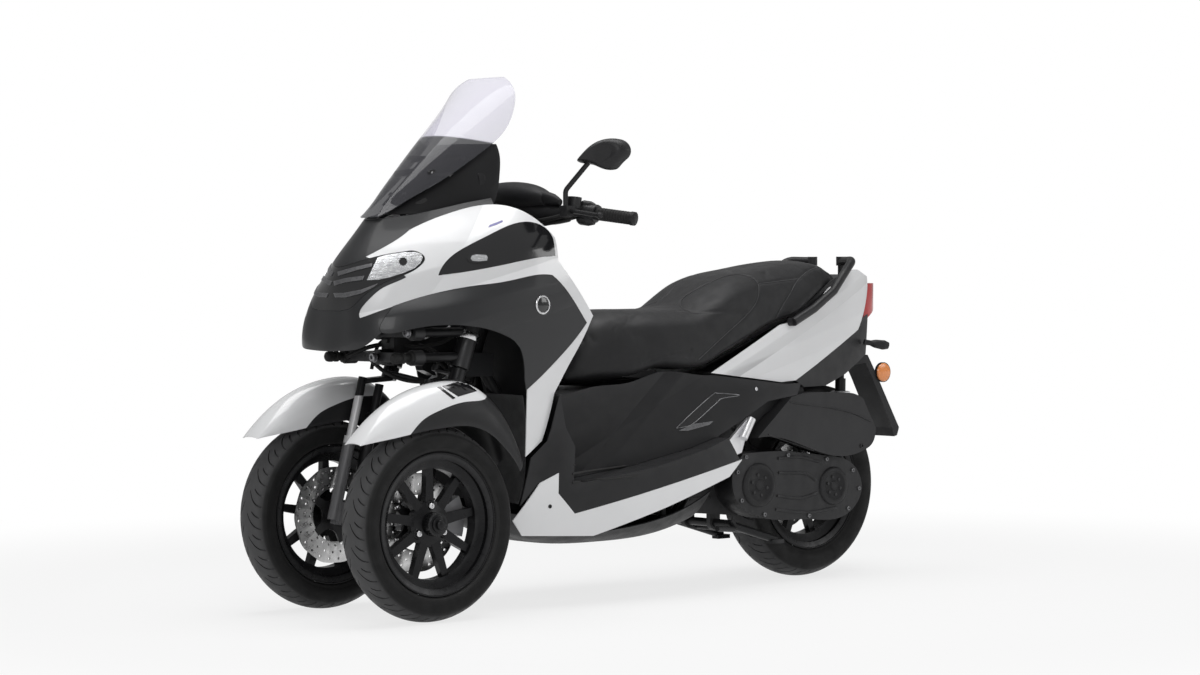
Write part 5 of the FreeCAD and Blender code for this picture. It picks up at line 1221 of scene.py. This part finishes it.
def make_grips():
    rings = [lathe_data(GRIP_RING, BAR_TIP + BAR_WAY * (0.014 + 0.0085 * k), BAR_WAY, 28) for k in range(12)]
    on_both_sides("grip_rings", rings, "rubber", "grip_rubber", "handlebar", 40)
    weight = lathe_data(BAR_WEIGHT, BAR_TIP, BAR_WAY, 28)
    on_both_sides("bar_weights", [weight], "black_metal", "black_metal", "handlebar", 40)
    back = Vector((-1, 0, 0.25)).normalized()
    housing = BAR_TIP + BAR_WAY * 0.139 + back * 0.0235
    places = [housing + BAR_WAY * along + UP * lift for lift, along in BUTTON_PLACES]
    buttons = [lathe_data(BUTTON, place, back, 16) for place in places]
    on_both_sides("bar_buttons", buttons, "lamp_fin", "black_plastic", "handlebar", 40)


def bar_points(*rows):
    """Points near the handlebar, from x behind the front axle, y and z."""
    return [(FRONT_X - back, y, z) for back, y, z in rows]


SHROUD = bar_points(
    (0.474, 0.050, 1.090), (0.480, 0.110, 1.088), (0.498, 0.170, 1.086), (0.512, 0.212, 1.088),
)
SHOULDER = bar_points(
    (0.482, 0.110, 1.132), (0.484, 0.150, 1.130), (0.488, 0.180, 1.126), (0.492, 0.204, 1.120),
)
# Where each switch housing starts, how far along the bar its points lie, and their radii
SWITCH_BOXES = (
    ((0.004, 0, -0.021), (0, 0.018, 0.042, 0.052), (0.011, 0.0165, 0.0165, 0.010)),
    ((0.002, 0, 0.019), (0, 0.012, 0.034, 0.044), (0.009, 0.014, 0.0145, 0.009)),
)
CABLES = ((0.004, 0.020), (-0.005, 0.012), (0.008, 0.030))  # how far up and ahead each one runs


def make_bar_details():
    """Covers over the bar's middle, the switch housings beside the grips, and the cables."""
    covers = [
        tube_data(SHROUD, [0.032, 0.032, 0.029, 0.024], 18, 6, 0.9),
        tube_data(SHOULDER, [0.026, 0.025, 0.020, 0.010], 18, 6, 0.8),
    ]
    on_both_sides("bar_shrouds", covers, "grain_black", "black_plastic", "handlebar", 50)
    near = BAR_TIP + BAR_WAY * 0.124
    boxes = []
    for start, reaches, radii in SWITCH_BOXES:
        line = [near + Vector(start) + BAR_WAY * reach for reach in reaches]
        boxes.append(tube_data(line, radii, 16, 4, 0.9))
    on_both_sides("switch_boxes", boxes, "satin_black", "black_plastic", "handlebar", 40)
    cables = []
    for lift, ahead in CABLES:
        line = [near + BAR_WAY * 0.05 + Vector((ahead, 0, -0.012 + lift))]
        line += bar_points(
            (0.490 - ahead, 0.175, 1.066 + lift), (0.480 - ahead, 0.110, 1.062 + lift),
            (0.474 - ahead, 0.040, 1.078 + lift),
        )
        cables.append(tube_data(line, 0.0042, 10, 6))
    on_both_sides("bar_cables", cables, "rubber", "black_plastic", "handlebar", 50)


MIRROR_LINE = [
    (0.288, 1.232), (0.312, 1.262), (0.340, 1.282), (0.364, 1.287), (0.388, 1.280), (0.398, 1.262),
    (0.395, 1.246), (0.380, 1.229), (0.362, 1.212), (0.336, 1.219), (0.310, 1.226),
]
MIRROR_MIDDLE = (0.348, 1.250)
MIRROR_RINGS = ((0.98, -0.002), (0.95, 0.0012), (0.93, 0.0016))  # scale and lift


def make_mirror_glass():
    """The glass in the back of each mirror housing, laid on the housing's rear face."""
    tree = tree_of(NODES["mirrors"])
    points = []
    for scale, lift in MIRROR_RINGS:
        for y, z in MIRROR_LINE:
            y, z = [m + (v - m) * scale for v, m in zip((y, z), MIRROR_MIDDLE)]
            place = tree.ray_cast(Vector((0, y, z)), Vector((1, 0, 0)))[0]
            x = FRONT_X - 0.552 - (y - 0.35) / 2 if place is None else place.x
            points.append(Vector((x - lift, y, z)))
    rings, count = len(MIRROR_RINGS), len(MIRROR_LINE)
    faces = band_faces(rings, count) + [tuple((rings - 1) * count + i for i in range(count))]
    on_both_sides("mirror_glass", [(points, faces)], "mirror_glass", "lamp_glass", "handlebar", 30)


make_cockpit()
make_grips()
make_mirror_glass()
make_bar_details()


# The mechanism seen under the nose, what closes the gaps behind the panels, and the rear winkers

# Profiles of (radius, height)
KNOB = [
    (0, 0.064), (0.009, 0.064), (0.0135, 0.060), (0.0150, 0.053), (0.0150, 0.044), (0.0120, 0.042),
    (0.0120, 0.036), (0.0150, 0.034), (0.0150, 0.026), (0.0115, 0.024), (0.0115, 0.010),
    (0.0180, 0.008), (0.0190, 0.0),
]
HEAD_COLLAR = [
    (0.0265, -0.010), (0.0300, -0.010), (0.0312, -0.008), (0.0312, 0.008), (0.0300, 0.010),
    (0.0150, 0.012), (0.0120, 0.018), (0, 0.018),
]
NUT_PLACES = ((KINGPIN_Y, 1), (-KINGPIN_Y, 1), (0, 0), (0, 1))  # y, and which arm
# Marks, the y of each mark, and the radius
HOSES = (
    (HOSE_A, (-0.10, -0.05, 0.0, 0.04, 0.09), 0.0062),
    (HOSE_B, (-0.07, -0.07, -0.06, -0.03), 0.0050),
    (HOSE_C, (0.0, 0.03, 0.06, 0.08), 0.0055),
    (HOSE_D, (-0.06, -0.02, 0.03, 0.07, 0.09), 0.0058),
    (HOSE_E, (0.02, 0.04, 0.06, 0.08), 0.0042),
)
# Outline, the y of its outer side, and the thickness
FILLS = ((TAIL_FILL, 0.147, 0.006), (SEAT_FILL, 0.118, 0.006), (RAIL_BASE, 0.125, 0.005))
WINKER_LENS = [(0, 0.0100), (0.0060, 0.0092), (0.0100, 0.0065), (0.0118, 0.0)]


def flat_piece(marks, y, thick):
    """A flat panel at y whose outline the photograph shows, thick towards the middle."""
    outer = [at_depth(mark, y) for mark in marks]
    return outer + [p - OUT * thick for p in outer], closed_faces(2, len(outer))


def hose(marks, depths, radius):
    """A hose through marks of the photograph, each at its own y."""
    return tube_data([at_depth(mark, y) for mark, y in zip(marks, depths)], radius, 10, 6)


def make_under():
    ahead = Vector((1, 0, 0))
    knobs = [lathe_data(KNOB, (ARM_FRONT, y, ARM_LEVELS[0]), ahead, 28) for y in (KINGPIN_Y, -KINGPIN_Y)]
    piece("pivot_knobs", *joined(knobs), "rubber", "black_plastic", "chassis")
    nuts = [(ARM_FRONT + 0.012, y, ARM_LEVELS[level]) for y, level in NUT_PLACES]
    bolts("pivot_nuts", nuts, ahead, 0.012, 0.009, "grey_alloy", "black_metal", "chassis")
    piece("nose_hoses", *joined([hose(*row) for row in HOSES]), "rubber", "black_plastic", "chassis", 50)
    rod_ends = [at_depth(mark, 0.09) for mark in STAY_ROD]
    piece("nose_stay", *tube_data(rod_ends, 0.0035, 10, 2), "alloy", "alloy", "chassis", 50)
    box = flat_piece(INNER_BOX, 0.092, 0.034)
    on_both_sides("inner_boxes", [box], "graphite", "black_plastic", "chassis", 30)
    ring_z = at_depth(HEAD_RING, KINGPIN_Y).z
    kingpin = Vector((-math.sin(CASTER), 0, math.cos(CASTER)))
    middle = Vector((FRONT_X + 0.068 - ring_z * math.tan(CASTER), KINGPIN_Y, ring_z))
    ring = lathe_data(HEAD_COLLAR, middle, kingpin, 40)
    on_both_sides("head_rings", [ring], "steel", "alloy", "chassis", 35)
    fills = [flat_piece(*row) for row in FILLS]
    on_both_sides("inner_panels", fills, "grain_black", "black_plastic", "chassis", 30)


def make_winkers():
    """Short rear winkers: a flat capsule on a neck, with the lens facing back."""
    root, end = at_depth(WINKER_ROOT, 0.100), at_depth(WINKER_END, 0.135)
    way = end - root
    line = [root + way * share for share in (0, 0.25, 0.45, 0.8, 1)]
    case = tube_data(line, [0.0095, 0.0085, 0.0135, 0.0160, 0.0110], 20, 6, 0.85)
    shell = on_both_sides("winker_cases", [case], "satin_black", "black_plastic", "chassis", 50)
    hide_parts("rear_indicators")
    place = root + way * 0.72 + Vector((-0.0095, 0, 0))
    lens = lathe_data(WINKER_LENS, place, Vector((-0.97, -0.2, 0.05)), 28)
    on_both_sides("winker_lenses", [lens], "amber_lens", "amber_lens", "chassis", 40)


make_under()
make_winkers()


# Seat: foam swollen inside its cover, with seams

SEAT_VOXEL = 0.007
SEAT_SWELL = 0.007  # most that the foam may move
FOAM_PRESSURE = 4.0
FOAM_FRAMES = 20
HELD_BELOW = -0.35  # the normal's height below which the cushion is held
PULL = 0.0022  # how deep the cover is drawn in along a seam
PULL_REACH = 0.009
THREAD = 0.0008
PULLED_SEAMS = (SEAM_BACK, SEAM_OVAL, SEAM_FRONT, SEAM_TOP, SEAM_REAR, SEAM_LOW)
SEWN_SEAMS = (SEAM_BACK, SEAM_OVAL, SEAM_TOP, SEAM_REAR)


def near_line(point, line):
    """Distance from a point to a polyline."""
    best = 1.0
    for a, b in zip(line, line[1:]):
        along = b - a
        t = max(0.0, min(1.0, (point - a).dot(along) / max(along.length_squared, 1e-12)))
        best = min(best, (a + along * t - point).length)
    return best


def swell(obj):
    """Blows the cushion up a little with cloth pressure. Its underside is held."""
    mesh = obj.data
    before = [v.co.copy() for v in mesh.vertices]
    held = obj.vertex_groups.new(name="held")
    for vertex in mesh.vertices:
        if vertex.normal.z < HELD_BELOW:
            held.add([vertex.index], 1.0, "REPLACE")
    cloth = obj.modifiers.new("foam", "CLOTH")
    cloth.settings.vertex_group_mass = "held"
    cloth.settings.use_pressure = True
    cloth.settings.uniform_pressure_force = FOAM_PRESSURE
    cloth.settings.quality = 4
    cloth.settings.effector_weights.gravity = 0.0
    cloth.collision_settings.use_collision = False
    cloth.point_cache.frame_start = 1
    cloth.point_cache.frame_end = FOAM_FRAMES
    scene = bpy.context.scene
    for frame_number in range(1, FOAM_FRAMES + 1):
        scene.frame_set(frame_number)
    shown = obj.evaluated_get(bpy.context.evaluated_depsgraph_get())
    after = [v.co.copy() for v in shown.data.vertices]
    obj.modifiers.remove(cloth)
    scene.frame_set(1)
    for vertex, old, new in zip(mesh.vertices, before, after):
        step = new - old
        if step.length > SEAT_SWELL:
            step = step.normalized() * SEAT_SWELL
        vertex.co = old + step
    obj.vertex_groups.clear()


def cushion():
    """The seat's solid as an even, softened mesh, swollen."""
    source = NODES["seat"]
    obj = add_object("seat_cushion", source.data.copy())
    obj.matrix_world = source.matrix_world.copy()
    remesh = obj.modifiers.new("even", "REMESH")
    remesh.mode = "VOXEL"
    remesh.voxel_size = SEAT_VOXEL
    smoother = obj.modifiers.new("soft", "SMOOTH")
    smoother.factor = 0.5
    smoother.iterations = 4
    baked(obj)
    swell(obj)
    finer = obj.modifiers.new("finer", "SUBSURF")
    finer.levels = 1
    finer.render_levels = 1
    baked(obj)
    for face in obj.data.polygons:
        face.use_smooth = True
    return obj


def seam_line(marks, tree):
    """The points of the surface under a seam's marks."""
    hits = [seen(tree, mark.xy)[0] for mark in smooth_line([Vector((x, y, 0)) for x, y in marks], 6)]
    return [place for place in hits if place is not None]


def draw_in(obj):
    """Draws the cover in along its seams, on both sides."""
    tree = tree_of(obj)
    lines = [seam_line(marks, tree) for marks in PULLED_SEAMS]
    spans = [(min(p.x for p in line) - 0.01, max(p.x for p in line) + 0.01) for line in lines]
    normals = [v.normal.copy() for v in obj.data.vertices]
    for vertex, normal in zip(obj.data.vertices, normals):
        if normal.z < -0.4:
            continue
        point = Vector((vertex.co.x, abs(vertex.co.y), vertex.co.z))
        nearby = [line for line, (low, high) in zip(lines, spans) if low < point.x < high]
        near = min([near_line(point, line) for line in nearby], default=1.0)
        if near < PULL_REACH:
            vertex.co = vertex.co - normal * PULL * (1 - (near / PULL_REACH) ** 2) ** 2


def make_seat():
    obj = cushion()
    draw_in(obj)
    dress(obj, "seat")
    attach(obj, "seat")
    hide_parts("seat")
    tree = tree_of(obj)
    threads = [ridge_data(marks, tree, THREAD, 0.0003, 5) for marks in SEWN_SEAMS]
    on_both_sides("seat_seams", threads, "thread", "seat_cover", "seat", 60)


make_seat()


# Tail, drive, exhaust and footwell details, in metres

CASE_FACE = 164.2  # the belt case's outer face, in millimetres from the middle
# Profiles of (radius, height)
REFLECTOR_LENS = [(0, 0.0105), (0.020, 0.0102), (0.0262, 0.0085), (0.0284, 0.0060), (0.0284, 0.0)]
REFLECTOR_BACK = [(0.0306, 0.0052), (0.0306, -0.004), (0, -0.004)]
SPRING_COLLAR = [(0.012, 0.0), (0.029, 0.0), (0.030, 0.002), (0.030, 0.006), (0.024, 0.008), (0.012, 0.008)]
CASE_STUD = [(0, 0.0), (0.0046, 0.0), (0.0052, -0.002), (0.0056, -0.004)]
BAND = [(0.0655, -0.009), (0.0678, -0.0085), (0.0678, 0.0085), (0.0655, 0.009)]
END_RING = [(0.0585, 0.0), (0.060, 0.002), (0.052, 0.006), (0.030, 0.004), (0.026, 0.0)]
# Points of (x, z) in millimetres from the rear axle
CASE_RIBS = (
    ((250, 222), (120, 206), (0, 214)), ((240, 372), (150, 372), (60, 352)),
    ((238, 330), (130, 322), (84, 300)), ((244, 262), (150, 250), (82, 262)),
)
CASE_BOLTS = (
    (404, 340), (388, 256), (296, 210), (114, 197), (-50, 210),
    (-96, 268), (-70, 324), (40, 362), (200, 381), (370, 382),
)
CASE_WHEELS = ((318, 298, 0.066), (12, 281, 0.058))  # x, z and the radius in metres
SPRING_TURNS = 6
FIN_COUNT = 7
FIN_CORNERS = [(-0.050, -0.086), (0.050, -0.086), (0.050, 0.086), (-0.050, 0.086)]
SHIELD_COLUMNS, SHIELD_ROWS = 24, 9
SHIELD_LAYERS = (0.0735, 0.0715)  # outer and inner radius


def make_panels():
    """What lies on the tunnel's sides, the floorboards and the drive's covers."""
    tunnel = tree_of(NODES["tunnel_covers"])
    skin("vent_slots", SLOT, tunnel, "smoked", "black_plastic", 0.0006, 0.001)
    skin("vent_lips", SLOT_LIP, tunnel, "lamp_fin", "black_plastic", 0.0026, 0.001)
    # Painted highlight: beads in light grey round the slot stand for the light caught along its rim.
    ridges("vent_rim_highlights", [SLOT + SLOT[:1]], tunnel, 0.0015, "lamp_fin", 0.0008)
    stud("tunnel_screws", TUNNEL_SCREW, tunnel, screw_profile(0.0052, 0.002), "alloy", "alloy")
    ridges("mat_ribs", [MAT_A, MAT_B, MAT_C], tree_of(NODES["floorboards"]), 0.0035, "rubber")
    box = tree_of(NODES["air_box"], NODES["belt_case"])
    ridges("air_box_ribs", [BOX_EDGE, BOX_RIB_A, BOX_RIB_B], box, 0.0024, "grain_grey", both=False)
    stud("air_box_bolt", BOX_BOLT, box, screw_profile(0.007, 0.004), "black_metal", "black_metal", both=False)


def make_reflectors():
    """A round side reflector on each side, on a short arm."""
    mark = at_depth(REFLECTOR, 0.055)
    center = Vector((mark.x, 0.046, mark.z))
    lens = lathe_data(REFLECTOR_LENS, center, OUT, 40)
    on_both_sides("side_reflectors", [lens], "amber_lens", "amber_lens", "chassis", 30)
    arm = [center + Vector(way) for way in ((0, -0.002, 0), (0.022, -0.004, -0.004), (0.034, -0.012, -0.006))]
    backs = [lathe_data(REFLECTOR_BACK, center, OUT, 40), tube_data(arm, 0.008, 10, 4, 0.5)]
    on_both_sides("reflector_backs", backs, "grain_black", "black_plastic", "chassis", 40)


def coil_data(low, high, radius, wire, steps=14):
    axis = (high - low).normalized()
    side, other = frame_of(axis)
    points = []
    for k in range(SPRING_TURNS * steps + 1):
        turn = 2 * math.pi * k / steps
        rise = (high - low).length * k / (SPRING_TURNS * steps)
        points.append(low + axis * rise + (side * math.cos(turn) + other * math.sin(turn)) * radius)
    return tube_data(points, wire, 8, 1)


def make_springs():
    low, top = rear(-80, 98, 346), rear(-88, 98, 672)
    way = (top - low).normalized()
    coil = coil_data(low + way * 0.056, low + way * 0.204, 0.0245, 0.0038)
    on_both_sides("shock_springs", [coil], "lamp_fin", "black_metal", "chassis", 60)
    collars = [lathe_data(SPRING_COLLAR, low + way * lift, way, 32) for lift in (0.046, 0.206)]
    on_both_sides("shock_collars", collars, "alloy", "alloy", "chassis", 35)


def make_belt_case():
    """Two round reliefs with studs, cast ribs and a row of bolts on the belt case."""
    relief = []
    for x, z, radius in CASE_WHEELS:
        profile = [
            (0, 0.007), (radius * 0.22, 0.007), (radius * 0.26, 0.0045), (radius * 0.66, 0.0055),
            (radius * 0.72, 0.0085), (radius * 0.88, 0.0085), (radius * 0.96, 0.005), (radius, -0.003),
        ]
        relief.append(lathe_data(profile, rear(x, CASE_FACE, z), OUT, 56))
        for k in range(6):
            place = rear(x, CASE_FACE + 7, z) + round_wheel(radius * 0.46, 2 * math.pi * k / 6 + 0.3)
            relief.append(lathe_data(CASE_STUD, place, OUT, 14))
    for line in CASE_RIBS:
        relief.append(tube_data([rear(x, CASE_FACE, z) for x, z in line], 0.005, 8, 6, 0.8))
    piece("belt_case_relief", *joined(relief), "engine_black", "black_metal", "chassis", 40)
    places = [rear(x, CASE_FACE - 0.5, z) for x, z in CASE_BOLTS]
    bolts("belt_case_bolts", places, OUT, 0.0062, 0.006, "lamp_fin", "black_metal", "chassis")


def make_fins():
    """Cooling fins round the cylinder."""
    outline = rounded(FIN_CORNERS, 0.02, 4)
    fins = []
    for k in range(FIN_COUNT):
        middle = rear(478 - 3 * k, 3, 262 + 21 * k)
        points = [middle + Vector((u, v, lift)) for lift in (-0.0035, 0.0035) for u, v in outline]
        fins.append((points, closed_faces(2, len(outline))))
    piece("engine_fins", *joined(fins), "engine_black", "black_metal", "chassis", 30)


def shield_data(start, way):
    """The heat shield: a bent plate with dents, round the outer side of the silencer."""
    outward = UP.cross(way).normalized()
    if outward.y > 0:
        outward = -outward
    upward = outward.cross(way)
    if upward.z < 0:
        upward = -upward
    columns, rows = SHIELD_COLUMNS, SHIELD_ROWS
    points = []
    for radius in SHIELD_LAYERS:
        for i in range(columns + 1):
            for j in range(rows + 1):
                turn = math.radians(-52 + 112 * j / rows)
                dent = 0.0016 if (i // 3) % 2 and 1 < j < rows - 1 else 0.0
                around = (outward * math.cos(turn) + upward * math.sin(turn)) * (radius - dent)
                points.append(start + way * (0.10 + 0.29 * i / columns) + around)
    size = (columns + 1) * (rows + 1)
    faces = []
    for first in (0, size):
        for i in range(columns):
            for j in range(rows):
                a = first + i * (rows + 1) + j
                faces.append((a, a + rows + 1, a + rows + 2, a + 1))
    edge = [(i, 0) for i in range(columns)] + [(columns, j) for j in range(rows)]
    edge += [(i, rows) for i in range(columns, 0, -1)] + [(0, j) for j in range(rows, 0, -1)]
    loop = [i * (rows + 1) + j for i, j in edge]
    for a, b in zip(loop, loop[1:] + loop[:1]):
        faces.append((a, b, size + b, size + a))
    return points, faces


def make_silencer():
    start, end = rear(230, -205, 330), rear(-300, -215, 420)
    way = (end - start).normalized()
    bands = [lathe_data(BAND, start + way * lift, way, 56) for lift in (0.085, 0.24, 0.425)]
    bands.append(lathe_data(END_RING, start + way * 0.470, way, 56))
    piece("muffler_bands", *joined(bands), "lamp_fin", "black_metal", "chassis")
    piece("muffler_shield", *shield_data(start, way), "satin_black", "black_plastic", "chassis", 40)


make_panels()
make_reflectors()
make_springs()
make_belt_case()
make_fins()
make_silencer()


# Floor, backdrop and lights

FLOOR_REACH = 60
WORLD_LEVEL = 0.38  # how strongly the backdrop lights the part
FLOOR_GLOW = (0.25, 0.75)  # what distance adds to the glow, and the glow near the part
# Name, place, aim, size and power
LIGHTS = (
    ("top_light", (0.2, 0.2, 4.5), (0, 0, 0.5), (4.0, 3.0), 150),
    ("key_light", (3.8, 5.0, 3.4), (0.2, 0, 0.6), (2.5, 2.0), 75),
    ("side_light", (-4.5, 4.5, 2.4), (-0.4, 0, 0.6), (2.0, 2.0), 35),
)


def stage_look():
    """A pale floor that shows its shadows softly and fades into the backdrop with distance."""
    look = Look("pale_floor", (0.72, 0.72, 0.72), 0.95)
    look.vary(0.6, 0.005)
    look.bump(look.noise(8, 2.0), 0.02, 0.002)
    paths = look.node("ShaderNodeLightPath")
    direct = look.math("ADD", paths.outputs["Is Camera Ray"], paths.outputs["Is Glossy Ray"])
    direct = look.math("ADD", direct, paths.outputs["Is Transmission Ray"], clamp=True)
    away = look.node("ShaderNodeVectorMath", operation="LENGTH")
    look.link(look.place, away.inputs[0])
    far = look.ranged(away.outputs["Value"], 1.6, 3.4, 0, 1, smooth=True)
    glow = look.math("MULTIPLY_ADD", far, *FLOOR_GLOW)
    light = look.node("ShaderNodeEmission")
    light.inputs["Color"].default_value = (1, 1, 1, 1)
    mix = look.node("ShaderNodeMixShader")
    look.link(look.math("MULTIPLY", direct, glow), mix.inputs[0])
    look.link(look.shader.outputs[0], mix.inputs[1])
    look.link(light.outputs[0], mix.inputs[2])
    look.link(mix.outputs[0], look.tree.nodes["Material Output"].inputs["Surface"])
    return look


def make_floor():
    mesh = bpy.data.meshes.new("floor")
    corners = [(x * FLOOR_REACH, y * FLOOR_REACH, 0) for x, y in ((-1, -1), (1, -1), (1, 1), (-1, 1))]
    mesh.from_pydata(corners, [], [(0, 1, 2, 3)])
    mesh.materials.append(stage_look().material)
    add_object("floor", mesh)


def make_backdrop():
    """White to the camera, dimmer as a light."""
    world = bpy.data.worlds.new("studio")
    bpy.context.scene.world = world
    world.use_nodes = True
    tree = world.node_tree
    back = tree.nodes["Background"]
    back.inputs["Color"].default_value = (1, 1, 1, 1)
    paths = tree.nodes.new("ShaderNodeLightPath")
    pick = tree.nodes.new("ShaderNodeMath")
    pick.operation = "MAXIMUM"
    tree.links.new(paths.outputs["Is Camera Ray"], pick.inputs[0])
    tree.links.new(paths.outputs["Is Transmission Ray"], pick.inputs[1])
    level = tree.nodes.new("ShaderNodeMapRange")
    level.inputs["To Min"].default_value = WORLD_LEVEL
    level.inputs["To Max"].default_value = 1.0
    tree.links.new(pick.outputs[0], level.inputs["Value"])
    tree.links.new(level.outputs[0], back.inputs["Strength"])


def lamp(name, place, aim, size, power):
    data = bpy.data.lights.new(name, "AREA")
    data.shape = "RECTANGLE"
    data.size, data.size_y = size
    data.energy = power
    obj = add_object(name, data)
    obj.location = place
    obj.rotation_mode = "QUATERNION"
    obj.rotation_quaternion = (Vector(place) - Vector(aim)).to_track_quat("Z", "Y")


make_floor()
make_backdrop()
for row in LIGHTS:
    lamp(*row)
